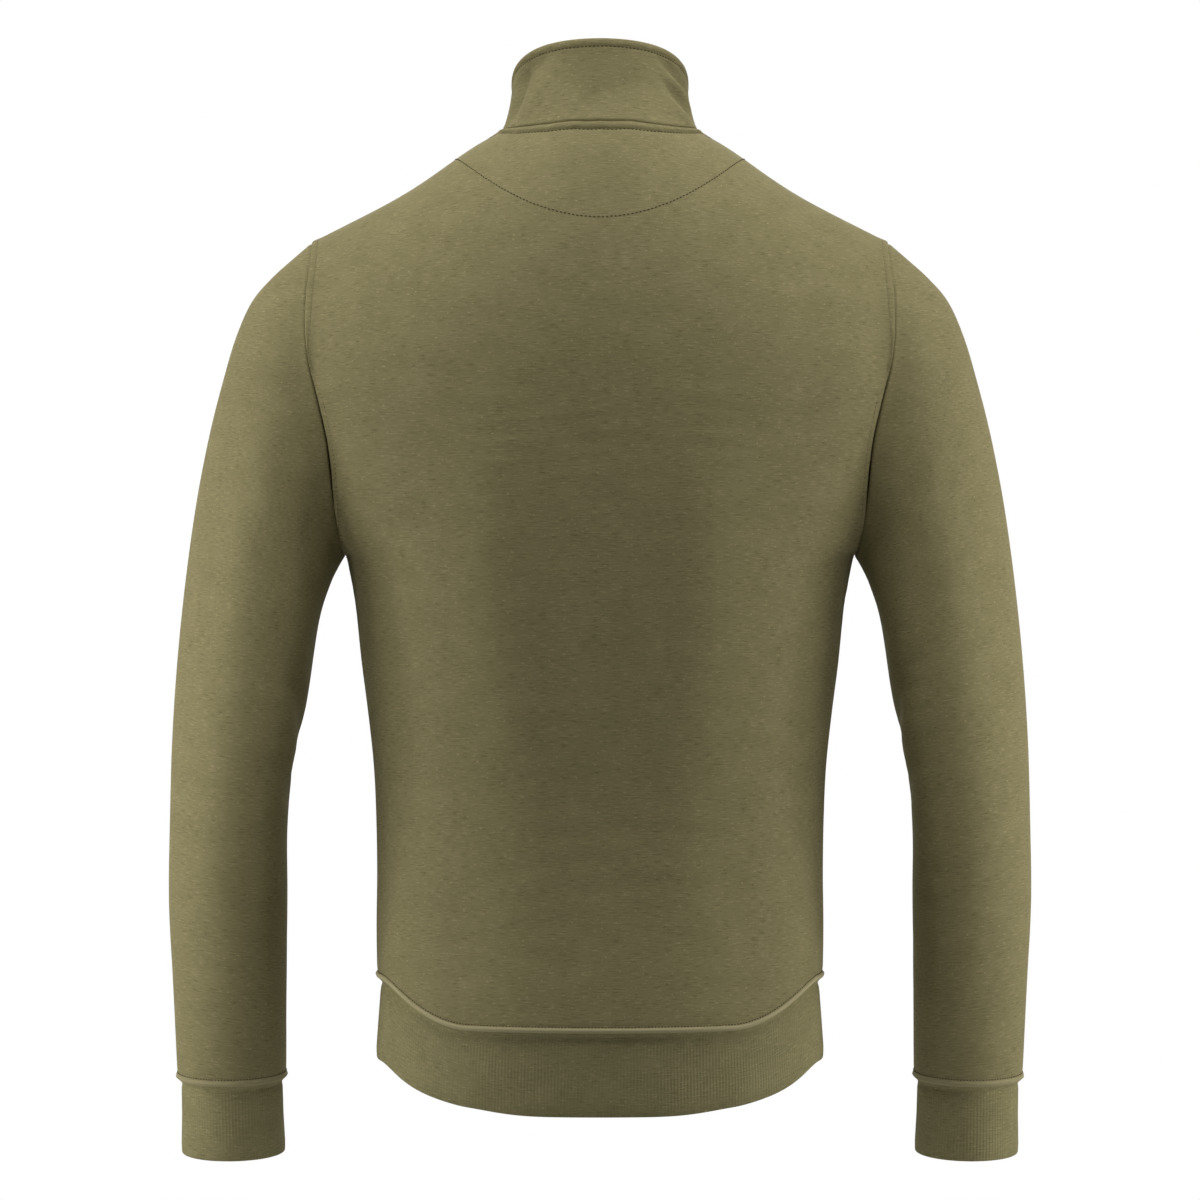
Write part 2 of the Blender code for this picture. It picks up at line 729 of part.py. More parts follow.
def add_pull(place, finish):
    """The tab and its eye, with the origin on the pin's axis."""
    place = place @ Matrix.Translation((0, PIN_Y, 0))
    flat = PULL_THICK / 2

    def tab(bm):
        box(bm, (-PULL_HALF, -flat, -PULL_LENGTH), (PULL_HALF, flat, -PULL_TOP))

    def neck(bm):
        box(bm, (-EYE_HALF, -flat, -NECK_LOW), (EYE_HALF, flat, -NECK_TOP))

    def eye(bm):
        cylinder(bm, EYE_OUT, EYE_HALF, 0.0, 24)

    def hole(bm):
        cylinder(bm, EYE_IN, 2 * EYE_HALF, 0.0, 20)

    def slot(bm):
        box(bm, (-SLOT_HALF, -PULL_THICK, -SLOT_LOW), (SLOT_HALF, PULL_THICK, -SLOT_TOP))

    pull = piece("zip_pull", finish, place, tab)
    soften(pull, 0.0005)
    for fill, operation in ((neck, "UNION"), (eye, "UNION"), (hole, "DIFFERENCE"), (slot, "DIFFERENCE")):
        join(pull, piece("zip_pull_" + fill.__name__, finish, place, fill), operation)


def add_stop(middle, finish):
    """The bottom stop, crimped over the chain's front."""
    point, way = middle[0]
    up = (middle[1][0] - point).normalized()
    across = Vector((1, 0, 0))
    place = Matrix.Translation(point + up * STOP_UP)
    place = place @ Matrix((across, up.cross(across), up)).transposed().to_4x4()
    front = -CHAIN_THICK / 2 - SEAM_GAP

    def plate(bm):
        box(bm, (-STOP_HALF, front - STOP_THICK, -STOP_TALL / 2), (STOP_HALF, front, STOP_TALL / 2))

    soften(piece("zip_stop", finish, place, plate), 0.0003, 1)


def zip_place(middle):
    """Where the slider sits: at the closed top of the chain, +Z up the chain and -Y out of the cloth."""
    top = middle[-1][0]
    up = (top - middle[-2][0]).normalized()
    across = Vector((1, 0, 0))
    place = Matrix.Translation(top - up * SLIDER_BELOW_TOP)
    return place @ Matrix((across, up.cross(across), up)).transposed().to_4x4()


def clear_scene():
    for old in list(bpy.data.objects):
        bpy.data.objects.remove(old)


def build():
    clear_scene()
    fleece = material("olive_fleece", (0.165, 0.145, 0.070), 0.95)
    rib = material("olive_rib", (0.125, 0.110, 0.052), 0.95)
    tape = material("olive_tape", (0.110, 0.098, 0.050), 0.9)
    chain = material("olive_chain", (0.085, 0.075, 0.040), 0.5)
    metal = material("dark_nickel", (0.20, 0.19, 0.17), 0.35, 1.0)

    back_inner = add_back(fleece)
    front = add_front(fleece)
    add_half_moon(back_inner, fleece)
    for name, side in (("left", 1), ("right", -1)):
        add_sleeve(f"sleeve_{name}", side, fleece)
        add_cuff(f"cuff_{name}", side, rib)
    add_hem_band(rib)
    collar = add_collar(fleece)

    left_line = zip_line(front, collar, 1)
    add_tape("zip_tape_left", left_line, 1, tape)
    add_tape("zip_tape_right", zip_line(front, collar, -1), -1, tape)
    middle = chain_middle(left_line)
    add_chain(middle, chain)
    add_stop(middle, metal)
    place = zip_place(middle)
    add_slider(place, metal)
    add_pull(place, metal)


build()
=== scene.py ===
"""The looks of an olive sweatshirt with a stand collar and a short front zip, filled out and hollow.

Metres, +Z up, front facing -Y, wearer's left +X. The file goes round the garment in the order it is sewn:
back, half-moon patch, front, sleeves, cuffs, hem band, collar and zip, then the room it hangs in.
"""

import math

import bpy
import numpy as np
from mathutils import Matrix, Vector


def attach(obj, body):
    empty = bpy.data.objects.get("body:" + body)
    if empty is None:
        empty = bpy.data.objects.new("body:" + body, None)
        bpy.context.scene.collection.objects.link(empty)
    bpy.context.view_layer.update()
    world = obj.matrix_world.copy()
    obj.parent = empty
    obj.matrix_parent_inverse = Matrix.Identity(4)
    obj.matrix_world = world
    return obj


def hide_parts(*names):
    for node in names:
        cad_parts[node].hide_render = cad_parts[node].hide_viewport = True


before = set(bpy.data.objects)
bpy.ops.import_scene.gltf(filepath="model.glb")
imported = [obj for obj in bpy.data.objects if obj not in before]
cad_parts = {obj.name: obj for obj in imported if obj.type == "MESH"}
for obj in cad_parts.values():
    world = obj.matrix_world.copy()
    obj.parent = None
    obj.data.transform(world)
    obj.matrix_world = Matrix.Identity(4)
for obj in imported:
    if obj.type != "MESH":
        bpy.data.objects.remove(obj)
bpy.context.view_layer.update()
bpy.ops.object.select_all(action="DESELECT")


# Back panel
#
# One piece of brushed sweat fabric, 1.8 mm thick, sewn to the front along the shoulders and sides. It takes
# the wearer's back: full over the shoulder blades, hollow down the spine, and dropped 3 cm at the hem.

BACK, FRONT = 1, -1
LEFT, RIGHT = 1, -1
FLEECE_THICK = 0.0018
YOKE_ROW, ARMPIT_ROW, HEM_ROW = 5, 10, 18
NECK_COLUMN, SIDE_COLUMN = 5, 10
NECK_SHARE = 0.5
NECK_HALF, SHOULDER_HALF = 0.0705, 0.208
RIDGE_Y, YOKE_Z = -0.008, -0.192
BACK_NECK_DEPTH, FRONT_NECK_DEPTH = 0.068, 0.080
BACK_ROUND, FRONT_ROUND = 0.5, 1.0
HEM_RISE_FROM, HEM_RISE_TO, FRONT_LIFT = 0.36, 0.84, 0.017
SPINE_HALF = 0.062
SIDE_FOLD_SHARE, SIDE_FOLD_HALF, SIDE_FOLD_OUT, SIDE_FOLD_DEEP = 0.867, 0.107, 0.6, 0.8
ARMHOLE_TOP, ARMHOLE_DROP, ARMHOLE_BACK, ARMHOLE_FRONT = 0.1115, 0.113, 0.066, 0.060
ZIP_HALF, ZIP_END_ROW = 0.006, 6
SLIT_COLUMN = 1e-4


class Table:
    """Rows of named columns, read at any value of the first column along smooth curves."""

    def __init__(self, columns, *rows):
        self.columns = columns.split()
        self.rows = np.array(rows, float)

    def read(self, name, key):
        at = self.rows[:, 0]
        value = self.rows[:, self.columns.index(name)]
        order = np.arange(len(at))
        before, after = np.maximum(order - 1, 0), np.minimum(order + 1, len(at) - 1)
        slope = (value[after] - value[before]) / (at[after] - at[before])
        i = np.clip(np.searchsorted(at, key) - 1, 0, len(at) - 2)
        span = at[i + 1] - at[i]
        t = np.clip((key - at[i]) / span, 0, 1)
        bend = t * (1 - t) ** 2 * slope[i] - t * t * (1 - t) * slope[i + 1]
        return value[i] + (value[i + 1] - value[i]) * t * t * (3 - 2 * t) + bend * span


ridge = Table(
    "out height",
    (0, 0.04), (0.02, 0.036), (0.04, 0.0235), (0.0705, 0), (0.089, -0.01), (0.139, -0.0445), (0.208, -0.0805),
)
armhole_seam = Table(
    "turn out",
    (0, 0.208), (30, 0.207), (55, 0.2085), (75, 0.2065), (90, 0.2), (108, 0.1925), (130, 0.1893),
    (155, 0.1872), (180, 0.183),
)
body_section = Table(
    "row mid_z back front turn square",
    (5, -0.192, 0.112, -0.128, 62, 1), (7.5, -0.262, 0.113, -0.132, 74, 1), (10, -0.333, 0.11, -0.13, 90, 1),
    (12, -0.409, 0.103, -0.126, 90, 1.02), (14, -0.485, 0.097, -0.121, 90, 1.02),
    (16, -0.56, 0.101, -0.118, 90, 0.97), (18, -0.636, 0.113, -0.116, 90, 0.9),
)
side_seam = Table(
    "row out seam_y height",
    (10, 0.183, -0.008, -0.305), (11, 0.1765, -0.006, -0.343), (12, 0.172, -0.004, -0.381),
    (13, 0.167, -0.003, -0.419), (14, 0.163, -0.002, -0.457), (15, 0.1612, -0.001, -0.495),
    (16, 0.1605, 0, -0.533), (17, 0.1608, 0, -0.57), (18, 0.16, 0, -0.608),
)
body_hollows = Table(
    "row spine side",
    (0, 0, 0), (4, 0.0005, 0), (7, 0.0015, 0), (11, 0.002, 0), (13, 0.002, 0.001), (15, 0.002, 0.006),
    (16.5, 0.001, 0.006), (18, 0, 0),
)


def turn_share(c):
    """How much of a section's turn a column has made, from 0 at the centre line to 1 at the side."""
    inner = NECK_SHARE * c / NECK_COLUMN
    outer = NECK_SHARE + (1 - NECK_SHARE) * (c - NECK_COLUMN) / (SIDE_COLUMN - NECK_COLUMN)
    return np.where(c <= NECK_COLUMN, inner, outer)


def armhole(turn, face):
    """The left armhole seam, from the shoulder tip (0 degrees) by the back or front to the armpit (180)."""
    angle = np.radians(turn)
    depth = ARMHOLE_BACK if face == BACK else ARMHOLE_FRONT
    y = RIDGE_Y + face * depth * np.sin(angle)
    z = YOKE_Z + np.where(turn < 90, ARMHOLE_TOP, ARMHOLE_DROP) * np.cos(angle)
    return armhole_seam.read("out", turn), y, z


def rounded_section(share, edge_x, edge_y, deep, turn, square):
    """Out and deep places on a rounded section that ends at its edge."""
    last = np.radians(turn)
    angle = last * share
    out = edge_x * (np.sin(angle) / np.sin(last)) ** square
    end = np.where(turn < 89.99, np.cos(last), 0.0) ** square
    return out, edge_y + (deep - edge_y) * (np.maximum(np.cos(angle), 0.0) ** square - end) / (1 - end)


def upper_body(r, c, face):
    """Places between the shoulders and the yoke row."""
    deep = body_section.read("back" if face == BACK else "front", YOKE_ROW)
    turn = body_section.read("turn", YOKE_ROW)
    edge_x, edge_y, _ = armhole(np.float64(90), face)
    share = np.clip(r / YOKE_ROW, 0, 1)
    angle = np.radians(90 * np.minimum(c, NECK_COLUMN) / NECK_COLUMN)
    neck_depth = BACK_NECK_DEPTH if face == BACK else FRONT_NECK_DEPTH
    along = np.maximum(c - NECK_COLUMN, 0) / (SIDE_COLUMN - NECK_COLUMN)
    top_out = NECK_HALF * np.sin(angle) + (SHOULDER_HALF - NECK_HALF) * along
    top_y = RIDGE_Y + face * neck_depth * np.where(c < NECK_COLUMN, np.cos(angle), 0.0)
    yoke_out, yoke_y = rounded_section(turn_share(c), edge_x, edge_y, deep, turn, 1.0)
    seam_out = SHOULDER_HALF + (edge_x - SHOULDER_HALF) * share
    bulge = (armhole_seam.read("out", 90 * share) - seam_out) * (c / SIDE_COLUMN) ** 4
    out = top_out + (yoke_out - top_out) * share + bulge
    y = top_y + (yoke_y - top_y) * np.sin(np.radians(90 * share))
    last = np.radians(turn)
    over = np.arcsin(np.minimum(out / edge_x, 1.0) * np.sin(last))
    yoke_under = edge_y + (deep - edge_y) * (np.cos(over) - np.cos(last)) / (1 - np.cos(last))
    reach = np.minimum(np.abs((y - RIDGE_Y) / (yoke_under - RIDGE_Y)), 1.0)
    roundness = BACK_ROUND
    if face == FRONT:
        roundness = BACK_ROUND + (FRONT_ROUND - BACK_ROUND) * (1 - np.minimum(out / SHOULDER_HALF, 1.0) ** 2)
    height = ridge.read("height", np.minimum(out, SHOULDER_HALF))
    return out, y, YOKE_Z + (height - YOKE_Z) * (1 - reach * reach) ** roundness


def lower_body(r, c, face):
    """Places from the yoke row down to the hem."""
    deep = body_section.read("back" if face == BACK else "front", r)
    arm_share = (np.clip(r, YOKE_ROW, ARMPIT_ROW) - YOKE_ROW) / (ARMPIT_ROW - YOKE_ROW)
    edge_x, edge_y, edge_z = (
        np.where(r >= ARMPIT_ROW, side_seam.read(name, r), above)
        for name, above in zip(side_seam.columns[1:], armhole(90 + 90 * arm_share, face))
    )
    share = turn_share(c)
    turn, square = body_section.read("turn", r), body_section.read("square", r)
    out, y = rounded_section(share, edge_x, edge_y, deep, turn, square)
    middle_z = body_section.read("mid_z", r)
    if face == FRONT:
        middle_z = middle_z + FRONT_LIFT * (r - YOKE_ROW) / (HEM_ROW - YOKE_ROW)
    rise = np.clip((share - HEM_RISE_FROM) / (HEM_RISE_TO - HEM_RISE_FROM), 0, 1)
    return out, y, middle_z + (edge_z - middle_z) * rise * rise * (3 - 2 * rise)


def body_at(r, c, side, face):
    """Points of the body's outer surface at rows and columns."""
    r, c, side = np.broadcast_arrays(np.asarray(r, float), np.abs(np.asarray(c, float)), side)
    upper = upper_body(np.minimum(r, YOKE_ROW), c, face)
    lower = lower_body(np.maximum(r, YOKE_ROW), c, face)
    out, y, z = (np.where(r <= YOKE_ROW, a, b) for a, b in zip(upper, lower))
    if face == BACK:
        y = y - body_hollows.read("spine", r) * np.exp(-((out / SPINE_HALF) ** 2))
        share = turn_share(c)
        fold = body_hollows.read("side", r) * np.exp(-(((share - SIDE_FOLD_SHARE) / SIDE_FOLD_HALF) ** 2))
        fold = fold * (1 - share**9)
        out, y = out - SIDE_FOLD_OUT * fold, y - SIDE_FOLD_DEEP * fold
    else:
        out = out + ZIP_HALF * np.maximum(1 - c / NECK_COLUMN, 0.0)
    return np.stack([side * out, y, z], axis=-1)


def lines_between(first, last, per_step, close_first=True, close_last=True):
    """Places for a mesh's lines, with extra ones close to a sewn edge."""
    places = np.linspace(first, last, int(round((last - first) * per_step)) + 1)
    near = np.array([0.02, 0.045, 0.07, 0.105, 0.14, 0.175, 0.21, 0.24, 0.275])
    if close_first:
        places = np.concatenate([places, first + near])
    if close_last:
        places = np.concatenate([places, last - near])
    return np.unique(np.round(places, 5))


def unit(ways):
    """Directions of length 1."""
    return ways / np.maximum(np.linalg.norm(ways, axis=-1, keepdims=True), 1e-12)


def normals_of(grid, closed=False):
    """The outward direction at each point of a grid, from the points around it."""
    wide = np.concatenate([grid[:, -1:], grid, grid[:, :1]], axis=1) if closed else grid
    across = np.gradient(wide, axis=1)
    across = across[:, 1:-1] if closed else across
    return unit(np.cross(across, np.gradient(grid, axis=0)))


def faced(grid, closed=False, ways=None):
    """Cloth: at each place a point and the way out of it, worked out from the grid where it isn't given."""
    ways = normals_of(grid, closed) if ways is None else np.broadcast_to(ways, grid.shape)
    return np.concatenate([grid, ways], axis=-1)


def lengths_along(grid, axis=0):
    """How far each point lies from the start of its line."""
    steps = np.linalg.norm(np.diff(grid, axis=axis), axis=-1)
    first = np.zeros_like(np.take(steps, [0], axis=axis))
    return np.cumsum(np.concatenate([first, steps], axis=axis), axis=axis)


def relaxed(grid, times, loose=()):
    """The grid eased as cloth over a form. Its edges stay, but the loose ones ease along their length."""
    grid = grid.copy()
    for _ in range(times):
        around = grid[:-2, 1:-1] + grid[2:, 1:-1] + grid[1:-1, :-2] + grid[1:-1, 2:]
        grid[1:-1, 1:-1] += 0.5 * (around / 4 - grid[1:-1, 1:-1])
        for column in loose:
            grid[1:-1, column] += 0.5 * ((grid[:-2, column] + grid[2:, column]) / 2 - grid[1:-1, column])
    return grid


def new_object(name, mesh):
    """An object with the mesh, put in the scene."""
    made = bpy.data.objects.new(name, mesh)
    bpy.context.scene.collection.objects.link(made)
    return made


def shell(name, cloth, thick, material, closed=False, left_out=None, marks=(), rim=3, courses=None):
    """A sheet of cloth. Its raw edges are rounded, and its UVs are metres of cloth.

    courses gives how high each point lies in the knitting. Without it, the cloth's rows are its courses.
    """
    grid, normal = cloth[..., :3], cloth[..., 3:]
    rows, columns = grid.shape[:2]
    count = rows * columns
    index = np.arange(count).reshape(rows, columns)
    if closed:
        index = np.concatenate([index, index[:, :1]], axis=1)
    quads = np.stack([index[:-1, :-1], index[:-1, 1:], index[1:, 1:], index[1:, :-1]], axis=-1)
    if left_out is not None:
        quads = quads[~left_out]
    quads = quads.reshape(-1, 4)
    points, normal = grid.reshape(-1, 3), normal.reshape(-1, 3)

    a, b = np.concatenate([quads[:, [i, (i + 1) % 4]] for i in range(4)]).astype(np.int64).T
    bare = ~np.isin(a * count + b, b * count + a)
    a, b = a[bare], b[bare]
    outwards = np.zeros((count, 3))
    for end in (a, b):
        np.add.at(outwards, end, np.cross(points[b] - points[a], normal[a]))
    on_border = np.unique([a, b])
    away = unit(outwards[on_border])

    each = np.arange(count)
    verts, sources = [points, points - normal * thick], [each, each]
    ring = np.zeros((rim + 1, count), int)
    ring[0], ring[rim] = each, each + count
    for step in range(1, rim):
        turn = math.pi * step / rim
        middle = points[on_border] - normal[on_border] * thick / 2
        bow = normal[on_border] * math.cos(turn) + away * math.sin(turn)
        ring[step, on_border] = sum(len(v) for v in verts) + np.arange(len(on_border))
        verts.append(middle + bow * thick / 2)
        sources.append(on_border)
    faces = [quads, quads[:, ::-1] + count]
    for near, far in zip(ring, ring[1:]):
        faces.append(np.stack([near[b], near[a], far[a], far[b]], axis=-1))

    mesh = bpy.data.meshes.new(name)
    used, all_faces = np.unique(np.concatenate(faces), return_inverse=True)
    mesh.from_pydata(np.concatenate(verts)[used].tolist(), [], all_faces.reshape(-1, 4).tolist())
    source = np.concatenate(sources)[used]
    u = lengths_along(grid, 1)
    u = (u - u[:, [columns // 2]]).reshape(-1)
    if courses is None:
        courses = -lengths_along(grid, 0).mean(axis=1, keepdims=True).repeat(columns, axis=1)
    corner = np.empty(len(mesh.loops), int)
    mesh.loops.foreach_get("vertex_index", corner)
    across, up = u[source][corner].reshape(-1, 4), courses.reshape(-1)[source][corner].reshape(-1, 4)
    if closed:
        over_seam = np.ptp(across, axis=1, keepdims=True) > np.ptp(u) / 2
        across = across + np.ptp(u) * (over_seam & (across < np.median(u)))
    uv = np.stack([across, up], axis=-1)
    mesh.uv_layers.new(name="cloth").data.foreach_set("uv", uv.astype(np.float32).reshape(-1))
    for mark, values in marks:
        layer = mesh.attributes.new(mark, "FLOAT", "POINT")
        layer.data.foreach_set("value", values.reshape(-1)[source].astype(np.float32))
    mesh.materials.append(material)
    mesh.shade_smooth()
    return new_object(name, mesh)


def read_grid(grid, at_rows, at_columns, rows, columns):
    """The grid's points at other rows and columns."""
    rows, columns = np.broadcast_arrays(rows, columns)
    i = np.clip(np.searchsorted(at_rows, rows) - 1, 0, len(at_rows) - 2)
    j = np.clip(np.searchsorted(at_columns, columns) - 1, 0, len(at_columns) - 2)
    t = ((rows - at_rows[i]) / (at_rows[i + 1] - at_rows[i]))[..., None]
    s = ((columns - at_columns[j]) / (at_columns[j + 1] - at_columns[j]))[..., None]
    near = grid[i, j] * (1 - s) + grid[i, j + 1] * s
    return near * (1 - t) + (grid[i + 1, j] * (1 - s) + grid[i + 1, j + 1] * s) * t


def creased(grid, normal, creases, place):
    """The grid with soft troughs and ridges pressed in.

    Each crease gives the two places of its start, bend and end, then its depth and half width in millimetres.
    """
    height = np.zeros(grid.shape[:2])
    steps = np.linspace(0, 1, 25)
    weights = np.stack([(1 - steps) ** 2, 2 * steps * (1 - steps), steps**2])
    for *points, depth, half in creases:
        line = place(*(np.reshape(points, (3, 2)).T @ weights))
        nearest = np.full(grid.shape[:2], np.inf)
        along = np.zeros(grid.shape[:2])
        for step, point in zip(steps, line):
            distance = np.linalg.norm(grid - point, axis=-1)
            closer = distance < nearest
            nearest = np.where(closer, distance, nearest)
            along = np.where(closer, step, along)
        taper = np.clip(np.sin(np.pi * (0.04 + 0.92 * along)), 0, 1) ** 0.8
        height += depth * taper * np.exp(-((nearest / half * 1000) ** 2))
    return grid + normal * height[..., None] / 1000


def math_node(tree, operation, *values, clamp=False):
    """A Math node whose inputs are numbers or other nodes' outputs."""
    node = tree.nodes.new("ShaderNodeMath")
    node.operation, node.use_clamp = operation, clamp
    for socket, value in zip(node.inputs, values):
        if isinstance(value, (int, float)):
            socket.default_value = value
        else:
            tree.links.new(value, socket)
    return node.outputs["Value"]


def weighted(tree, base, *parts):
    """The sum of a base and of parts, each given as a value and its weight."""
    for value, weight in parts:
        base = math_node(tree, "ADD", math_node(tree, "MULTIPLY", value, weight), base)
    return base


def noise(tree, vector, size, detail):
    """A noise whose patches are size = (along a course, across it) metres."""
    scale = tree.nodes.new("ShaderNodeVectorMath")
    scale.operation = "MULTIPLY"
    scale.inputs[1].default_value = (1 / size[0], 1 / size[1], 1.0)
    tree.links.new(vector, scale.inputs[0])
    texture = tree.nodes.new("ShaderNodeTexNoise")
    texture.inputs["Scale"].default_value = 1.0
    texture.inputs["Detail"].default_value = detail
    tree.links.new(scale.outputs["Vector"], texture.inputs["Vector"])
    return texture.outputs["Fac"]


# the cloth's colour from its heathered yarn: slubs, mottle, nap and flecks; on rib also light and dark lines
# along the ribs, which are painted light and shade
heather_and_rib_shade = bpy.data.node_groups.new("heather_and_rib_shade", "ShaderNodeTree")
for name, way, kind in (
    ("Cloth", "INPUT", "Vector"), ("Slub", "INPUT", "Float"), ("Painted rib shade", "INPUT", "Float"),
    ("Light", "OUTPUT", "Float"), ("Height", "OUTPUT", "Float"),
):
    heather_and_rib_shade.interface.new_socket(name, in_out=way, socket_type=f"NodeSocket{kind}")
SLUB_SIZE, SLUB_DETAIL, SLUB_LIMIT, SLUB_GAIN = (0.0072, 0.0010), 1.2, 0.58, 8.0
SLUB_DEEP, SLUB_TALL = 0.36, 0.6
MOTTLE_SIZE, MOTTLE_DEEP = (0.030, 0.018), 0.45
NAP_SIZE, NAP_DEEP = (0.0011, 0.0008), 0.40
FLECK_SIZE, FLECK_LIMIT, FLECK_DEEP = (0.0026, 0.0016), 0.73, 9.0
RIB_PITCH, RIB_SHADE_DEEP = 0.0024, 0.055
given = heather_and_rib_shade.nodes.new("NodeGroupInput")
put_out = heather_and_rib_shade.nodes.new("NodeGroupOutput")
cloth_place = given.outputs["Cloth"]
slubs = noise(heather_and_rib_shade, cloth_place, SLUB_SIZE, SLUB_DETAIL)
light_slub, dark_slub = (
    math_node(heather_and_rib_shade, "MULTIPLY", math_node(heather_and_rib_shade, "SUBTRACT", *ends), SLUB_GAIN, clamp=True)
    for ends in ((slubs, SLUB_LIMIT), (1 - SLUB_LIMIT, slubs))
)
slub_light = math_node(heather_and_rib_shade, "SUBTRACT", light_slub, dark_slub)
for share in (SLUB_DEEP, given.outputs["Slub"]):
    slub_light = math_node(heather_and_rib_shade, "MULTIPLY", slub_light, share)
mottle, nap, flecks = (
    math_node(heather_and_rib_shade, "SUBTRACT", noise(heather_and_rib_shade, cloth_place, size, detail), level)
    for size, detail, level in ((MOTTLE_SIZE, 3.0, 0.5), (NAP_SIZE, 2.0, 0.5), (FLECK_SIZE, 0.0, FLECK_LIMIT))
)
flecks = math_node(heather_and_rib_shade, "MAXIMUM", flecks, 0.0)
# on rib, light and dark lines at the rib pitch: painted light on the ribs and painted shade in their grooves
split = heather_and_rib_shade.nodes.new("ShaderNodeSeparateXYZ")
heather_and_rib_shade.links.new(cloth_place, split.inputs[0])
painted_rib_shade = math_node(heather_and_rib_shade, "MULTIPLY", split.outputs["X"], 2 * math.pi / RIB_PITCH)
painted_rib_shade = math_node(heather_and_rib_shade, "MULTIPLY", math_node(heather_and_rib_shade, "SINE", painted_rib_shade), given.outputs["Painted rib shade"])
light = math_node(heather_and_rib_shade, "ADD", slub_light, 0.5)
shades = (mottle, MOTTLE_DEEP), (nap, NAP_DEEP), (flecks, FLECK_DEEP), (painted_rib_shade, RIB_SHADE_DEEP)
light = weighted(heather_and_rib_shade, light, *shades)
heather_and_rib_shade.links.new(light, put_out.inputs["Light"])
heather_and_rib_shade.links.new(weighted(heather_and_rib_shade, nap, (slub_light, SLUB_TALL)), put_out.inputs["Height"])


def new_material(name, looks):
    """A new material, its node tree and its shader, whose plain values are set."""
    made = bpy.data.materials.new(name)
    made.use_nodes = True
    shader = made.node_tree.nodes["Principled BSDF"]
    for socket, value in looks.items():
        shader.inputs[socket].default_value = value
    return made, made.node_tree, shader


def mixed(tree, share, first, second):
    """A first colour, which may be another node's output, that gives way to a second one."""
    mix = tree.nodes.new("ShaderNodeMix")
    mix.data_type = "RGBA"
    tree.links.new(share, mix.inputs["Factor"])
    if isinstance(first, tuple):
        mix.inputs["A"].default_value = (*first, 1.0)
    else:
        tree.links.new(first, mix.inputs["A"])
    mix.inputs["B"].default_value = (*second, 1.0)
    return mix.outputs["Result"]


def cloth_uv(tree):
    """Places on the piece's own cloth, in metres across and along it."""
    node = tree.nodes.new("ShaderNodeUVMap")
    node.uv_map = "cloth"
    return node.outputs["UV"]


def cloth_material(name, dark, light, thread_and_painted_light, slub=1.0, rib=0.0):
    """Brushed sweat cloth: short light and dark slubs along the courses, a soft mottle and a fine nap. Where
    marked it turns to a paler welt colour, partly thread and partly painted highlight; rib adds painted light
    and shade along the ribs.
    """
    looks = {"Roughness": 0.92, "Specular IOR Level": 0.25}
    looks.update({"Sheen Weight": 0.12, "Sheen Roughness": 0.6, "Sheen Tint": (*light, 1.0)})
    made, tree, shader = new_material(name, looks)
    surface = tree.nodes.new("ShaderNodeGroup")
    surface.node_tree = heather_and_rib_shade
    surface.inputs["Slub"].default_value = slub
    surface.inputs["Painted rib shade"].default_value = rib
    tree.links.new(cloth_uv(tree), surface.inputs["Cloth"])
    welt_thread_and_highlight = tree.nodes.new("ShaderNodeAttribute")
    welt_thread_and_highlight.attribute_name = "welt_thread_and_highlight"
    colour = mixed(tree, surface.outputs["Light"], dark, light)
    # where marked, the colour turns paler: partly welt thread, partly a painted highlight on the raised welt
    tree.links.new(mixed(tree, welt_thread_and_highlight.outputs["Fac"], colour, thread_and_painted_light), shader.inputs["Base Color"])
    bump = tree.nodes.new("ShaderNodeBump")
    bump.inputs["Strength"].default_value = 0.5
    bump.inputs["Distance"].default_value = 0.0003
    tree.links.new(surface.outputs["Height"], bump.inputs["Height"])
    tree.links.new(bump.outputs["Normal"], shader.inputs["Normal"])
    return made


OLIVE_DARK, OLIVE_LIGHT = (0.128, 0.111, 0.046), (0.270, 0.237, 0.117)
# the welts' paler colour: partly cover-stitch thread, partly a painted highlight where the raised welt
# catches light
WELT_THREAD_AND_HIGHLIGHT = (0.34, 0.305, 0.170)
fleece = cloth_material("olive_fleece", OLIVE_DARK, OLIVE_LIGHT, WELT_THREAD_AND_HIGHLIGHT)


def edge_profile(distance, profile):
    """The height of sewn cloth at a distance from its seam, as (distance, height) pairs in millimetres."""
    places, heights = np.array(profile).T / 1000
    return np.interp(distance, places, heights)


ROW_LINES, COLUMN_LINES, GRID_EASE = 12, 8, 24


def panel(face, creases):
    """A body panel's rows, columns and creased grid. It faces outwards, and the front has a slit."""
    even_rows = np.linspace(0, HEM_ROW, HEM_ROW * ROW_LINES + 1)
    rows = lines_between(0, HEM_ROW, ROW_LINES)
    half = lines_between(0, SIDE_COLUMN, COLUMN_LINES, close_first=False)
    even_half = np.linspace(0, SIDE_COLUMN, SIDE_COLUMN * COLUMN_LINES + 1)
    if face == FRONT:
        half[0] = even_half[0] = SLIT_COLUMN
    shared = 1 if face == BACK else 0
    columns = np.concatenate([-half[shared:][::-1], half])
    even_columns = np.concatenate([-even_half[shared:][::-1], even_half])
    even = body_at(even_rows[:, None], even_columns, face * np.sign(even_columns), face)
    if face == BACK:
        even = relaxed(even, GRID_EASE)
    else:
        left, right = np.split(even, 2, axis=1)
        even = np.concatenate([relaxed(left, GRID_EASE, [-1]), relaxed(right, GRID_EASE, [0])], axis=1)
    grid = read_grid(even, even_rows, even_columns, rows[:, None], columns)
    grid = creased(grid, normals_of(grid), creases, lambda r, c: body_at(r, c, np.sign(c), face))
    return rows, columns, grid


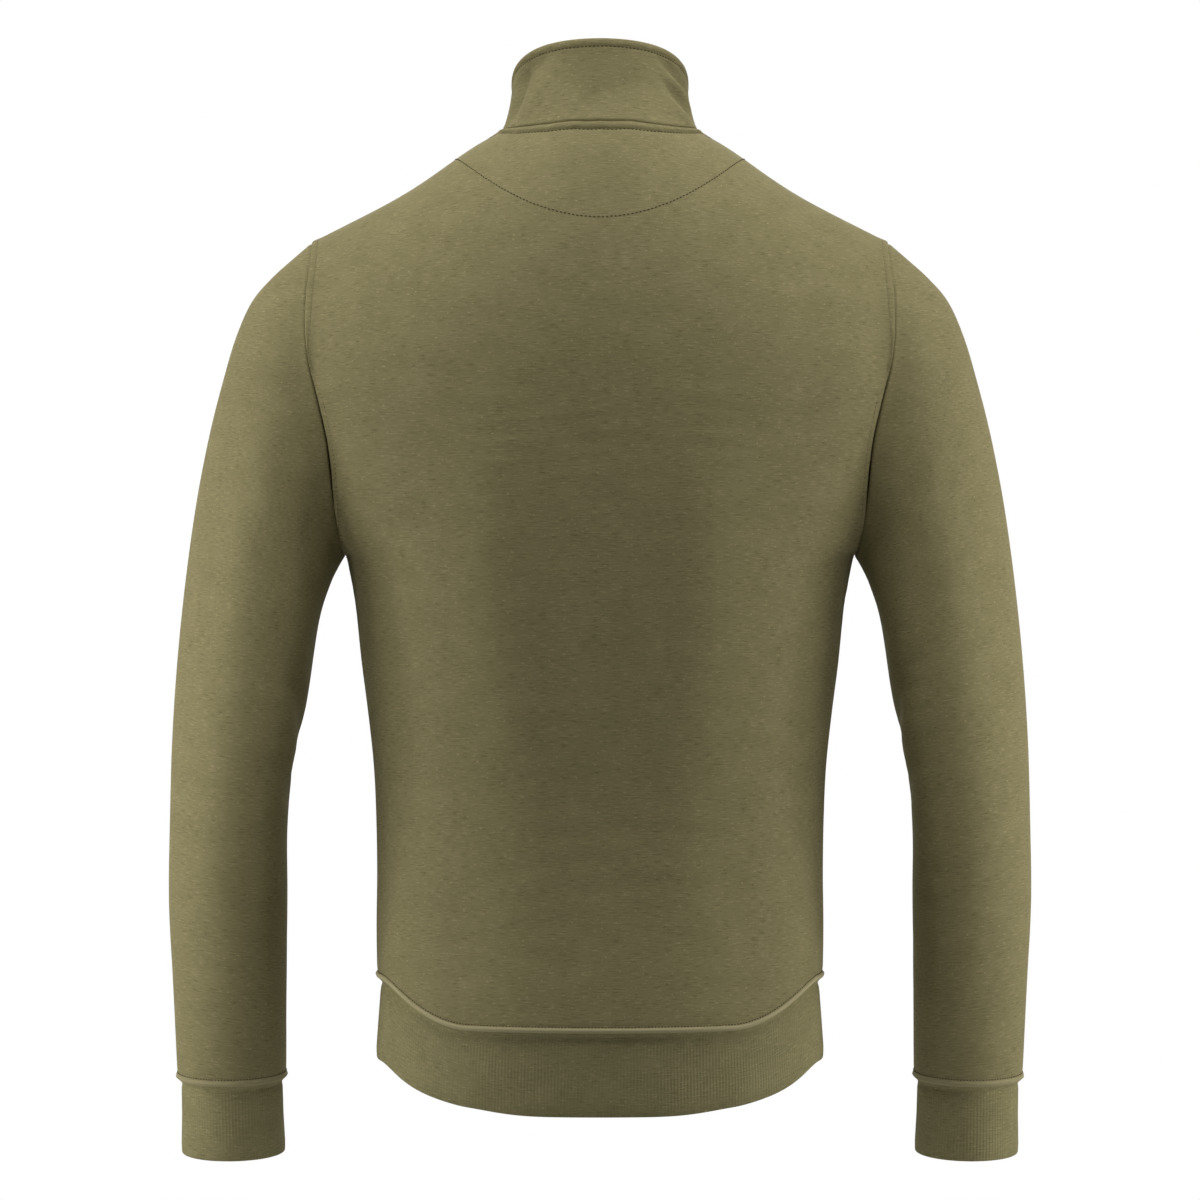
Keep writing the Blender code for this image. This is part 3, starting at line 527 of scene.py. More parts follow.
NECK_WELT = ((0, -1.4), (0.9, 0.6), (2.4, 1.7), (4.6, 1.7), (6.2, 1.0), (7.2, -0.7), (8.4, 0.1), (12, 0))
SHOULDER_SEAM = ((0, -0.8), (1.2, 0.2), (4.0, 0.5), (9.0, 0))
ARMHOLE_WELT = ((0, -0.9), (0.8, 0.1), (2.0, 0.45), (4.4, 0.35), (5.4, 0.05), (6.6, 0.15), (10, 0))
SIDE_SEAM = ((0, -0.9), (1.2, 0.1), (3.5, 0.3), (8.0, 0))
HEM_WELT = ((0, -0.3), (0.6, 0.7), (1.7, 1.1), (2.9, 0.8), (3.7, -0.9), (5.0, -0.2), (9, 0))
HEM_WELT_WIDE, WELT_FADE = 0.0034, 0.0005
NECK_WELT_PAST, NECK_WELT_FADE, ARMHOLE_WELT_FADE = 0.4, 0.5, 0.5


def sewn_panel(face, creases):
    """The panel's rows, columns and cloth, how much each point takes of the hem welt's paler colour (partly
    thread, partly painted highlight), and its courses.
    """
    rows, columns, grid = panel(face, creases)
    r, c = rows[:, None], np.abs(columns)
    from_top = lengths_along(grid, 0)
    from_hem = from_top[-1:] - from_top
    from_left = lengths_along(grid, 1)
    from_side = np.minimum(from_left, from_left[:, -1:] - from_left)
    neck = np.clip((NECK_COLUMN + NECK_WELT_PAST - c) / NECK_WELT_FADE, 0, 1)
    height = edge_profile(from_top, NECK_WELT) * neck + edge_profile(from_top, SHOULDER_SEAM) * (1 - neck)
    arm = np.clip((ARMPIT_ROW - r) / ARMHOLE_WELT_FADE, 0, 1)
    height += edge_profile(from_side, ARMHOLE_WELT) * arm + edge_profile(from_side, SIDE_SEAM) * (1 - arm)
    grid = grid + normals_of(grid) * (height + edge_profile(from_hem, HEM_WELT))[..., None]
    # how far each point takes the welt's paler colour: thread and painted highlight
    welt_thread_and_highlight = np.clip((HEM_WELT_WIDE - from_hem) / WELT_FADE, 0, 1)
    yoke = np.searchsorted(rows, YOKE_ROW)
    courses = np.where(r > YOKE_ROW, grid[..., 2], grid[yoke, :, 2] + from_top[yoke] - from_top)
    return rows, columns, faced(grid), welt_thread_and_highlight, courses


# row and column of each start, bend and end, then depth and half width in millimetres
back_creases = (
    (6.2, 9.6, 7.4, 9.2, 9.4, 9.3, -1, 11), (6.4, -9.6, 7.8, -9.3, 9.2, -9.2, -0.8, 12),
    (8.0, 9.6, 9.0, 9.1, 11.2, 8.6, -1.8, 9), (8.2, -9.6, 9.4, -9.1, 11.6, -8.8, -1.6, 10),
    (7.0, 9.9, 8.6, 9.9, 9.8, 9.9, 1.2, 6), (7.0, -9.9, 8.6, -9.9, 9.8, -9.9, 1.2, 6),
    (5.4, 0.4, 11.5, -0.5, 17.2, 0.2, -3.6, 40), (4.4, 3.0, 10.5, 3.0, 16.8, 1.3, 4.4, 33),
    (4.8, -3.1, 10.8, -2.8, 16.4, -1.6, 4.2, 34), (7.2, 6.4, 11.6, 6.8, 16.4, 6.3, -3.4, 27),
    (7.0, -6.6, 12.0, -6.4, 16.6, -6.7, -3.1, 28), (10.3, 9.7, 11.6, 8.4, 13.2, 7.7, -1.4, 14),
    (10.6, -9.7, 12.0, -8.6, 13.0, -7.4, -1.7, 12), (2.6, 7.2, 4.4, 6.4, 6.8, 6.6, -1.2, 20),
    (2.2, -7.6, 4.0, -6.6, 6.2, -6.2, -1.4, 18), (15.0, 4.2, 16.3, 3.7, 17.6, 4.1, -1, 14),
    (14.6, -3.8, 16.0, -4.4, 17.5, -4.0, -1.2, 16),
)
back_rows, back_columns, back_cloth, welt_thread_and_highlight, courses = sewn_panel(BACK, back_creases)
back = shell("back_panel", back_cloth, FLEECE_THICK, fleece, marks=[("welt_thread_and_highlight", welt_thread_and_highlight)], courses=courses)
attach(back, "garment")
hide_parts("back")


# Half-moon patch
#
# A half-round of the same fabric inside the back neck, turned under and held by one row of small stitches.
# Only the stitches show on the outside; the slight pucker beside them is not built.

PATCH_LOW, PATCH_RISE, PATCH_HALF = -0.0722, 0.0465, 0.0986
PATCH_THICK, PATCH_UNDER, PATCH_REACH = 0.001, 0.0006, 6


def patch_edge(columns):
    """The rows at which columns of the back cross the patch's curved lower edge."""
    rows = np.linspace(0, YOKE_ROW, 501)
    places = read_grid(back_cloth, back_rows, back_columns, rows[:, None], columns)
    edge = PATCH_LOW + PATCH_RISE * (places[..., 0] / PATCH_HALF) ** 2
    return rows[np.argmax(places[..., 2] <= edge, axis=0)]


def on_back(r, c, under=0.0):
    """Places on the finished back panel, or under it."""
    cloth = read_grid(back_cloth, back_rows, back_columns, r, c)
    ways = unit(cloth[..., 3:])
    return faced(cloth[..., :3] - ways * under, ways=ways)


patch_columns = np.linspace(-PATCH_REACH, PATCH_REACH, 121)
patch_rows = patch_edge(patch_columns) * np.linspace(0, 1, 31)[:, None]
patch = on_back(patch_rows, patch_columns, FLEECE_THICK + PATCH_UNDER)
half_moon = shell("half_moon_patch", patch, PATCH_THICK, fleece)
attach(half_moon, "garment")
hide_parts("half_moon")


def flecked_material(name, looks, size, detail, dark, light, on_cloth=False):
    """A material whose colour wanders from dark to light in patches, with its tree, shader and patches."""
    made, tree, shader = new_material(name, looks)
    place = cloth_uv(tree) if on_cloth else tree.nodes.new("ShaderNodeTexCoord").outputs["Object"]
    patches = noise(tree, place, size, detail)
    tree.links.new(mixed(tree, patches, dark, light), shader.inputs["Base Color"])
    return made, tree, shader, patches


# spun thread, whose twist shows as short darker and lighter lengths. The sewing thread's dark colour is
# painted shade of the groove its stitches sink into; the armhole thread keeps the cloth's tone.
spun = {"Roughness": 0.85, "Specular IOR Level": 0.2}, (0.0006, 0.0006), 1.0
thread_and_painted_light, *_ = flecked_material("sewing_thread_painted_shade", *spun, (0.030, 0.021, 0.009), (0.062, 0.046, 0.021))
armhole_thread, *_ = flecked_material("armhole_thread", *spun, (0.115, 0.099, 0.042), (0.205, 0.182, 0.088))


def read_line(line, along, at):
    """A line's points at distances along it."""
    return np.stack([np.interp(at, along, column) for column in line.T], axis=-1)


def tube_faces(rings, around):
    """The faces of a tube made of rings of points, with both ends shut."""
    point = np.arange(rings * around).reshape(rings, around)
    beside = np.roll(point, -1, axis=1)
    sides = np.stack([point[:-1], point[1:], beside[1:], beside[:-1]], axis=-1)
    return sides.reshape(-1, 4).tolist() + [point[0].tolist(), point[-1, ::-1].tolist()]


def solid_object(name, verts, faces, material):
    """A smooth-shaded object of points and faces, in one material."""
    mesh = bpy.data.meshes.new(name)
    mesh.from_pydata(np.asarray(verts).tolist(), [], faces)
    mesh.materials.append(material)
    mesh.shade_smooth()
    return new_object(name, mesh)


# each ring of a stitch: how far along it lies, how wide it is and how high it rides
STITCH_RINGS = (-0.5, 0.3, -0.5), (-0.3, 0.9, 0.3), (0.0, 1.0, 0.6), (0.3, 0.9, 0.3), (0.5, 0.3, -0.5)
STITCH_TURNS = np.radians((90, 18, -54, -126, 162))


# by default the stitches take the sewing thread, whose dark colour is painted shade
def stitch_row(name, path, pitch=0.0027, long=0.0018, half=0.00036, material=thread_and_painted_light):
    """A row of machine stitches on a path: short rounded lengths of thread that dip in at both ends."""
    path, ways = path[:, :3], path[:, 3:]
    distance = lengths_along(path)
    at = np.arange(pitch / 2, distance[-1], pitch)
    middle, up = read_line(path, distance, at), unit(read_line(ways, distance, at))
    along = unit(read_line(path, distance, at + pitch / 2) - read_line(path, distance, at - pitch / 2))
    across = np.cross(up, along)
    verts = []
    for share, wide, lift in STITCH_RINGS:
        for turn in STITCH_TURNS:
            round_it = across * math.cos(turn) + up * math.sin(turn)
            verts.append(middle + along * share * long + round_it * half * wide + up * half * lift)
    verts = np.stack(verts, axis=1)
    one = tube_faces(len(STITCH_RINGS), len(STITCH_TURNS))
    faces = [[verts.shape[1] * k + i for i in face] for k in range(len(at)) for face in one]
    made = solid_object(name, verts.reshape(-1, 3), faces, material)
    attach(made, "garment")


stitch_columns = np.linspace(-PATCH_REACH - 0.2, PATCH_REACH + 0.2, 241)
patch_line = on_back(patch_edge(stitch_columns), stitch_columns)
stitch_row("half_moon_stitches", patch_line, pitch=0.0030, half=0.00040)


def row_beside(cloth, distance):
    """The cloth's places at a distance from its first row. Each column may have its own distance."""
    from_top = lengths_along(cloth[..., :3])
    distance = np.broadcast_to(distance, cloth.shape[1])
    return np.array([read_line(cloth[:, i], from_top[:, i], far) for i, far in enumerate(distance)])


# each row of stitches lies in the groove beside its welt, this far over the raised cloth
NECK_STITCHES, ARMHOLE_STITCHES, HEM_STITCHES = 0.0099, 0.0058, 0.0054
# open and welt stitches take the dark sewing thread, painted shade; fine stitches take the armhole thread
OPEN_STITCH = {"pitch": 0.0029}
WELT_STITCH = {"pitch": 0.0023, "long": 0.0015}
FINE_STITCH = {"pitch": 0.0034, "half": 0.00026, "material": armhole_thread}
NECK_TURN = 0.35


def neck_stitches(name, cloth, columns):
    """The row beside the neck welt. Past the neck it turns up to meet the shoulder seam."""
    part = np.abs(columns) < NECK_COLUMN + NECK_TURN + 0.1
    past = np.clip((np.abs(columns[part]) - NECK_COLUMN) / NECK_TURN, 0, 1)
    stitch_row(name, row_beside(cloth[:, part], NECK_STITCHES * np.sqrt(1 - past**2)), **OPEN_STITCH)


def armhole_stitches(name, cloth, rows, step):
    """The row beside an armhole. step is 1 where the panel's columns start at it, and -1 where they end."""
    arm_part = cloth[rows <= ARMPIT_ROW].transpose(1, 0, 2)[::step]
    stitch_row(name, row_beside(arm_part, ARMHOLE_STITCHES), **FINE_STITCH)


neck_stitches("back_neck_stitches", back_cloth, back_columns)
for name, step in (("right", 1), ("left", -1)):
    armhole_stitches(f"back_armhole_stitches_{name}", back_cloth, back_rows, step)
stitch_row("back_hem_stitches", row_beside(back_cloth[::-1], HEM_STITCHES), **WELT_STITCH)


# Front panel
#
# The same fabric as the back, with a slit at the centre of the neck for the zip. The slit's edges are turned
# under and topstitched. It hangs easy over the chest and drops little at the hem.

front_creases = (
    (6.4, 9.7, 7.6, 9.0, 9.6, 8.8, -3, 11), (6.2, -9.7, 7.9, -9.2, 10.0, -8.9, -3.4, 10),
    (7.4, 8.8, 8.9, 7.6, 10.6, 7.0, 3.1, 14), (7.0, -8.6, 8.6, -7.7, 10.2, -7.2, 2.8, 13),
    (10.4, 9.6, 11.9, 8.2, 12.8, 6.6, -3.3, 12), (10.2, -9.6, 11.4, -8.4, 13.2, -7.0, -2.8, 14),
    (2.4, 7.4, 4.6, 6.6, 6.6, 6.9, -2.2, 17), (2.8, -7.2, 4.4, -6.2, 6.9, -6.5, -1.9, 20),
    (6.3, 0.5, 8.2, 1.3, 11.0, 1.0, -2.5, 17), (6.6, -0.7, 8.8, -1.9, 10.2, -1.6, 2.1, 15),
    (13.4, 5.4, 15.4, 4.6, 17.3, 5.0, -3, 16), (13.0, -4.6, 15.2, -5.2, 17.5, -4.7, -2.6, 18),
    (14.2, 1.2, 15.8, 0.7, 17.4, 1.1, 2, 16), (14.6, 8.2, 15.8, 7.4, 17.2, 7.7, -3, 11),
    (14.0, -8.0, 15.9, -7.5, 17.4, -8.1, -2.8, 12),
)
front_rows, front_columns, front_cloth, welt_thread_and_highlight, courses = sewn_panel(FRONT, front_creases)
slit = np.zeros((len(front_rows) - 1, len(front_columns) - 1), bool)
centre = len(front_columns) // 2 - 1
slit[:, centre] = front_rows[1:] <= ZIP_END_ROW
marks = [("welt_thread_and_highlight", welt_thread_and_highlight)]
front = shell("front_panel", front_cloth, FLEECE_THICK, fleece, left_out=slit, marks=marks, courses=courses)
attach(front, "garment")
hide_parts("front")

ZIP_STITCHES, ZIP_STITCH_TOP = 0.0055, 0.22
zip_part = (front_rows <= ZIP_END_ROW) & (front_rows > ZIP_STITCH_TOP)
for name, half, step in (("left", slice(centre + 1), 1), ("right", slice(centre + 1, None), -1)):
    neck_stitches(f"front_neck_stitches_{name}", front_cloth[:, half], front_columns[half])
    armhole_stitches(f"front_armhole_stitches_{name}", front_cloth, front_rows, step)
    beside_zip = front_cloth[zip_part, half][:, ::-step].transpose(1, 0, 2)
    stitch_row(f"front_zip_stitches_{name}", row_beside(beside_zip, ZIP_STITCHES))
stitch_row("front_hem_stitches", row_beside(front_cloth[::-1], HEM_STITCHES), **WELT_STITCH)


# Sleeves
#
# One piece each, set into the armhole and sewn up under the arm. They hang a little forward and clear of the
# body, full at the top of the arm, easing to the cuff.

sleeve_section = Table(
    "row out_x out_z in_x in_z depth mid_y lean",
    (0, 0.208, -0.0805, 0.183, -0.305, 0.063, -0.008, 0),
    (1, 0.2215, -0.0925, 0.1858, -0.3095, 0.0625, -0.005, 0),
    (2, 0.2365, -0.1065, 0.1892, -0.3155, 0.064, -0.003, 0),
    (3, 0.2505, -0.1235, 0.193, -0.323, 0.0655, -0.002, 0),
    (4, 0.2615, -0.149, 0.1965, -0.3325, 0.0665, 0, 0),
    (5, 0.2705, -0.18, 0.2, -0.3435, 0.067, 0.002, 0),
    (6, 0.28, -0.218, 0.2028, -0.356, 0.067, 0.003, 0),
    (7, 0.289, -0.265, 0.2055, -0.374, 0.066, 0.005, 0),
    (8, 0.2965, -0.318, 0.2088, -0.398, 0.0645, 0.006, 0),
    (9, 0.3025, -0.375, 0.2135, -0.427, 0.062, 0.007, 0),
    (10, 0.3068, -0.435, 0.2205, -0.461, 0.0585, 0.006, 1),
    (11, 0.3092, -0.495, 0.2252, -0.502, 0.0555, 0.001, 3),
    (12, 0.3108, -0.555, 0.2258, -0.552, 0.052, -0.006, 3),
    (13, 0.3088, -0.615, 0.227, -0.61, 0.0475, -0.014, 2),
    (14, 0.3064, -0.6845, 0.228, -0.6845, 0.043, -0.022, 2),
)
SLEEVE_BLEND, CUFF_ROW = 4, 14
SLEEVE_HANG = (0.12, -0.993)


def sleeve_round(r, turn, side):
    """A round section of the sleeve. turn is 0 at the top of the arm, 90 at the back and 180 underneath."""
    angle = np.radians(turn)
    out_x, out_z, in_x, in_z, depth, mid_y, lean = (
        sleeve_section.read(name, r) for name in sleeve_section.columns[1:]
    )
    deep = depth * np.sin(angle)
    x = (out_x + in_x) / 2 + (out_x - in_x) / 2 * np.cos(angle)
    z = (out_z + in_z) / 2 + (out_z - in_z) / 2 * np.cos(angle) - deep * np.tan(np.radians(lean))
    return np.stack(np.broadcast_arrays(side * x, mid_y + deep, z), axis=-1)


def sleeve_at(r, turn, side):
    """Points of a sleeve. Its first rows blend from the armhole's own loop into round sections."""
    r, turn = np.broadcast_arrays(np.asarray(r, float), np.asarray(turn, float) % 360)
    around = np.where(turn <= 180, turn, 360 - turn) * ARMPIT_ROW / 180
    behind, before = (body_at(around, SIDE_COLUMN, side, face) for face in (BACK, FRONT))
    ring = np.where((turn <= 180)[..., None], behind, before)
    fade = np.clip(1 - r / SLEEVE_BLEND, 0, 1)[..., None] ** 2
    return sleeve_round(r, turn, side) + (ring - sleeve_round(np.zeros_like(r), turn, side)) * fade


SLEEVE_SEAM = ((0, -1.0), (1.0, -0.3), (2.6, 0.1), (6.0, 0))
CUFF_WELT = ((0, -0.6), (0.7, 0.6), (2.0, 1.2), (3.6, 0.9), (4.6, -0.7), (6.2, -0.1), (9, 0))
CUFF_WELT_WIDE, CUFF_WELT_FADE, CUFF_WELT_PALE, CUFF_STITCHES = 0.0044, 0.0006, 0.55, 0.0062
UNDERARM_SEAM = ((0, -0.5), (1.6, 0), (5, 0))
SLEEVE_COLUMNS, WELT_ROWS_FROM = 108, 13.5
RIGHT_SHIFT, UNEVEN_ROWS, UNEVEN_DEPTH = 6, 0.12, 0.25
SLEEVE_ROWS = np.linspace(SLEEVE_BLEND, WELT_ROWS_FROM, 134)[1:]

# row and turn of each start, bend and end, then depth and half width; turn 90 is the back of the arm
sleeve_creases = (
    (0.8, 124, 3.2, 134, 6.2, 146, -1.2, 12), (1.6, 104, 4.4, 118, 7.4, 134, 1.4, 16),
    (1.6, 144, 6.6, 141, 13.4, 126, 7.8, 25), (0.3, 116, 0.4, 142, 0.4, 172, 1.3, 6),
    (2.6, 60, 7.6, 54, 13.2, 62, -4.2, 27), (1.0, 20, 2.6, 42, 4.4, 58, -1.3, 12),
    (5.2, 62, 5.5, 74, 5.9, 84, -1.2, 8), (7.6, 120, 8.7, 150, 9.6, 196, -2.4, 12),
    (9.0, 106, 9.9, 142, 10.6, 190, -1.8, 10), (8.4, 240, 9.5, 214, 10.2, 176, -2.6, 12),
    (11.2, 92, 12.0, 124, 12.7, 168, -1.4, 13), (12.6, 60, 13.2, 84, 13.6, 118, -1.2, 10),
    (12.2, 250, 13.0, 228, 13.5, 196, -1.6, 11), (0.6, 236, 3.2, 224, 6.0, 206, -3.2, 12),
    (1.4, 262, 4.2, 250, 7.6, 226, 1.8, 15), (9.2, 286, 10.2, 262, 10.9, 236, -1.4, 12),
)
for name, side in (("left", LEFT), ("right", RIGHT)):
    rows = np.concatenate([lines_between(0, SLEEVE_BLEND, 5, close_last=False), SLEEVE_ROWS])
    rows = np.unique(np.concatenate([rows, np.linspace(WELT_ROWS_FROM, CUFF_ROW, 21)]))
    turns = (180 + np.arange(0, 360, 360 / SLEEVE_COLUMNS)) * -side
    grid = sleeve_at(rows[:, None], turns, side)
    shift = 0 if side == LEFT else RIGHT_SHIFT
    uneven, number = np.array(sleeve_creases, float), np.arange(len(sleeve_creases))[:, None]
    uneven[:, 0:6:2] += UNEVEN_ROWS * np.sin(shift + 3 * number + uneven[:, 0:6:2])
    uneven[:, 1:6:2] += shift
    uneven[:, 6:7] *= 1 + UNEVEN_DEPTH * np.sin(2.1 * number + shift)
    grid = creased(grid, normals_of(grid, closed=True), uneven, lambda r, turn, s=side: sleeve_at(r, turn, s))
    normal = normals_of(grid, closed=True)
    from_top = lengths_along(grid, 0)
    from_cuff = from_top[-1:] - from_top
    rise = edge_profile(from_top, SLEEVE_SEAM) + edge_profile(from_cuff, CUFF_WELT)
    around = np.abs((turns % 360) - 180) / 360 * lengths_along(grid, 1)[:, -1:]
    cloth = faced(grid + normal * (rise + edge_profile(around, UNDERARM_SEAM))[..., None], closed=True)
    # how far each point takes the cuff welt's paler colour: thread and painted highlight
    welt_thread_and_highlight = np.clip((CUFF_WELT_WIDE - from_cuff) / CUFF_WELT_FADE, 0, 1) * CUFF_WELT_PALE
    courses = cloth[..., :3] @ (-side * SLEEVE_HANG[0], 0, -SLEEVE_HANG[1])
    marks = {"marks": [("welt_thread_and_highlight", welt_thread_and_highlight)], "courses": courses}
    sleeve = shell(f"sleeve_{name}_cloth", cloth, FLEECE_THICK, fleece, closed=True, **marks)
    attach(sleeve, "garment")
    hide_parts(f"sleeve_{name}")
    loop = np.concatenate([cloth, cloth[:, :1]], axis=1)[::-1]
    stitch_row(f"cuff_stitches_{name}", row_beside(loop, CUFF_STITCHES), **WELT_STITCH)


# Cuffs and hem band
#
# Fine rib, knitted with its ribs running down, folded double so that its lower edge is a round fold. It is
# cut shorter than the edge it is sewn to, so it draws in just below the seam.

RIB_DARK, RIB_LIGHT = (0.126, 0.112, 0.048), (0.292, 0.262, 0.128)
# rib=1.0 adds the painted light and shade along the ribs
rib = cloth_material("olive_rib", RIB_DARK, RIB_LIGHT, WELT_THREAD_AND_HIGHLIGHT, slub=0.9, rib=1.0)
RIB_THICK, RIB_RAISED, RIB_FADE, PER_RIB = 0.0024, 0.00009, 0.05, 4
CUFF_TALL, CUFF_RIBS = 0.0535, 102
HEM_TALL, HEM_RIBS = 0.0565, 384
SEAM_GAP = 0.0003


def even_loop(loop, count):
    """A closed loop's points spread evenly."""
    shut = np.concatenate([loop, loop[:1]])
    distance = lengths_along(shut)
    return read_line(shut, distance, distance[-1] * np.arange(count) / count)


def rib_band(name, loop, down, height, pulls, ribs, replaces, rise=lambda loop: 0.0):
    """A folded rib band hanging from a loop of seam points. pulls gives how far it draws in on its way down.

    rise gives how far its lower edge is drawn up at each place.
    """
    loop = even_loop(loop, ribs * PER_RIB)
    inward = normals_of(np.stack([loop, loop + down * 0.01, loop + down * 0.02]), closed=True)[1] * -1
    steps = np.concatenate([[0, 0.015, 0.035, 0.06, 0.09], np.linspace(0.13, 0.94, 14), [0.97, 1.0]])
    draw = np.interp(steps, *np.array(pulls).T)
    lower = height - np.broadcast_to(rise(loop), len(loop))
    grid = loop + down * (SEAM_GAP + steps[:, None] * lower)[..., None] + inward * draw[:, None, None]
    wave = np.cos(np.arange(ribs * PER_RIB) * 2 * math.pi / PER_RIB) * RIB_RAISED
    wave = wave * np.clip(steps / RIB_FADE, 0, 1)[:, None]
    grid = grid - inward * wave[..., None]
    cloth = faced(grid, ways=-inward)
    band = shell(name, cloth, RIB_THICK, rib, closed=True, marks=[("welt_thread_and_highlight", np.zeros(wave.shape))], rim=5)
    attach(band, "garment")
    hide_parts(replaces)


for name, side in (("left", LEFT), ("right", RIGHT)):
    turns = np.arange(0, 360, 3.0) * -side
    seam = sleeve_at(CUFF_ROW, turns, side)
    down = unit(seam.mean(axis=0) - sleeve_at(CUFF_ROW - 1, turns, side).mean(axis=0))
    pulls = ((0, 0.0012), (0.05, 0.0034), (0.12, 0.0028), (0.5, 0.0026), (0.9, 0.0018), (1, 0.0020))
    rib_band(f"cuff_{name}_rib", seam, down, CUFF_TALL, pulls, CUFF_RIBS, f"cuff_{name}")

across = np.linspace(-SIDE_COLUMN, SIDE_COLUMN, 161)[:-1]
hem_loop = np.concatenate([body_at(HEM_ROW, across, face * np.sign(across), face) for face in (BACK, FRONT)])
hem_pulls = ((0, 0.0010), (0.06, 0.0038), (0.15, 0.0025), (0.5, 0.0010), (0.9, -0.0006), (1, -0.0003))
HEM_DRAWN_UP, DRAWN_FROM, DRAWN_TO, DRAWN_LATE = 0.0052, 0.025, 0.145, 1.6


def hem_rise(loop):
    """The band's lower edge is drawn up a little between its middle and its sides at the back."""
    share = np.clip((np.abs(loop[:, 0]) - DRAWN_FROM) / (DRAWN_TO - DRAWN_FROM), 0, 1)
    return np.where(loop[:, 1] > 0, HEM_DRAWN_UP * np.sin(np.pi * share**DRAWN_LATE) ** 2, 0)


down = np.array([0, 0, -1.0])
rib_band("hem_rib", hem_loop, down, HEM_TALL, hem_pulls, HEM_RIBS, "hem_band", hem_rise)


# Collar
#
# A stand collar of the body's fabric, cut double and folded at its top edge, with a row of topstitching under
# the fold. It leans forward, tapers to its top and is softly crumpled at its sides.

COLLAR_ROUND = 4 * NECK_COLUMN
COLLAR_TOP_HALF, COLLAR_TOP_DEPTH, COLLAR_TOP_Y = 0.0635, 0.0645, -0.0185
COLLAR_SIDE_Z, COLLAR_SLOPE, COLLAR_BEND = 0.0384, 0.472, -2.39
COLLAR_THICK, FOLD_STITCHES, SEAM_ROWS, FOLD_ROWS = 0.0026, 0.0061, 2, 6


def collar_at(share, k):
    """Points of the collar, a share of its height up and k steps round from the zip's left edge."""
    share, k = np.broadcast_arrays(np.asarray(share, float), np.asarray(k, float))
    half = np.minimum(k, COLLAR_ROUND - k)
    c, side = np.minimum(half, COLLAR_ROUND / 2 - half), np.where(k <= COLLAR_ROUND / 2, LEFT, RIGHT)
    behind = half > NECK_COLUMN
    base = np.where(behind[..., None], body_at(0, c, side, BACK), body_at(0, c, side, FRONT))
    x, y, z = np.moveaxis(base, -1, 0)
    angle = np.radians(90 * c / NECK_COLUMN)
    forward = COLLAR_TOP_DEPTH * np.cos(angle) * np.where(behind, BACK, FRONT)
    out = COLLAR_TOP_HALF * np.sin(angle) + np.where(behind, 0, ZIP_HALF * (1 - c / NECK_COLUMN))
    top_z = COLLAR_SIDE_Z + COLLAR_SLOPE * forward + COLLAR_BEND * forward**2
    flare = (1 - share) ** 2
    x, y = side * out * (1 - flare) + x * flare, (COLLAR_TOP_Y + forward) * (1 - flare) + y * flare
    return np.stack([x, y, z + (top_z - z) * share], axis=-1)


# share and k of each start, bend and end, then depth and half width in millimetres
collar_creases = (
    (0.10, 6.1, 0.44, 6.5, 0.78, 7.0, -4.6, 6), (0.08, 7.2, 0.36, 7.5, 0.66, 8.0, 2.2, 9),
    (0.55, 5.9, 0.74, 6.9, 0.90, 8.4, -1.8, 6), (0.86, 12.3, 0.72, 13.2, 0.56, 14.6, -3.6, 4.8),
    (0.70, 12.6, 0.58, 13.4, 0.44, 14.4, 2.2, 5.5), (0.58, 12.5, 0.40, 13.4, 0.18, 14.2, -3.8, 6),
    (0.34, 12.8, 0.22, 13.5, 0.08, 14.0, 2, 7), (0.14, 9.3, 0.44, 10.2, 0.52, 11.9, -1.3, 10),
    (0.30, 3.4, 0.52, 2.6, 0.80, 3.2, -3.4, 8), (0.74, 17.0, 0.46, 17.7, 0.20, 16.9, -2.9, 9),
    (0.16, 1.6, 0.40, 1.1, 0.66, 1.7, 2.2, 9),
)
COLLAR_SEAM = ((0, -1.2), (1.2, 0.1), (3.0, 0.3), (6.0, 0))
COLLAR_FOLD = ((0, -0.4), (0.8, 0.3), (2.4, 0.7), (4.2, 0.5), (5.2, -0.7), (6.4, 0.1), (9.0, 0))
ZIP_EDGE = ((0, -0.3), (0.8, 0.3), (3.6, 0.3), (5.5, -0.4), (7.2, 0))
shares = np.unique(np.round(np.concatenate([np.linspace(0, 1, 61), [0.008, 0.025, 0.975, 0.992]]), 5))
around = np.concatenate([np.linspace(0, COLLAR_ROUND, 301), [0.03, COLLAR_ROUND - 0.03]])
around = np.unique(np.round(around, 5))
collar_grid = collar_at(shares[:, None], around)
collar_grid[0, :, 2] += SEAM_GAP / 2
collar_grid = creased(collar_grid, normals_of(collar_grid), collar_creases, collar_at)
up = lengths_along(collar_grid, 0)
from_zip = lengths_along(collar_grid, 1)
from_zip = np.minimum(from_zip, from_zip[:, -1:] - from_zip)
rise = edge_profile(up, COLLAR_SEAM) + edge_profile(up[-1:] - up, COLLAR_FOLD)
rise += edge_profile(from_zip, ZIP_EDGE)
collar_cloth = faced(collar_grid + normals_of(collar_grid) * rise[..., None])
marks = [("welt_thread_and_highlight", np.zeros(up.shape))]
collar = shell("collar_cloth", collar_cloth, COLLAR_THICK, fleece, marks=marks, rim=6)
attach(collar, "garment")
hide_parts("collar")
stitch_row("collar_top_stitches", row_beside(collar_cloth[::-1], FOLD_STITCHES), **OPEN_STITCH)
for name, step in (("left", 1), ("right", -1)):
    beside_zip = collar_cloth[SEAM_ROWS:-FOLD_ROWS, ::step].transpose(1, 0, 2)
    stitch_row(f"collar_zip_stitches_{name}", row_beside(beside_zip, ZIP_STITCHES))


# Zip
#
# A short nylon coil zip on woven tapes, sewn behind the slit's turned edges and closed up to the collar. The
# slider, its pull tab and the bottom stop are dark nickel.

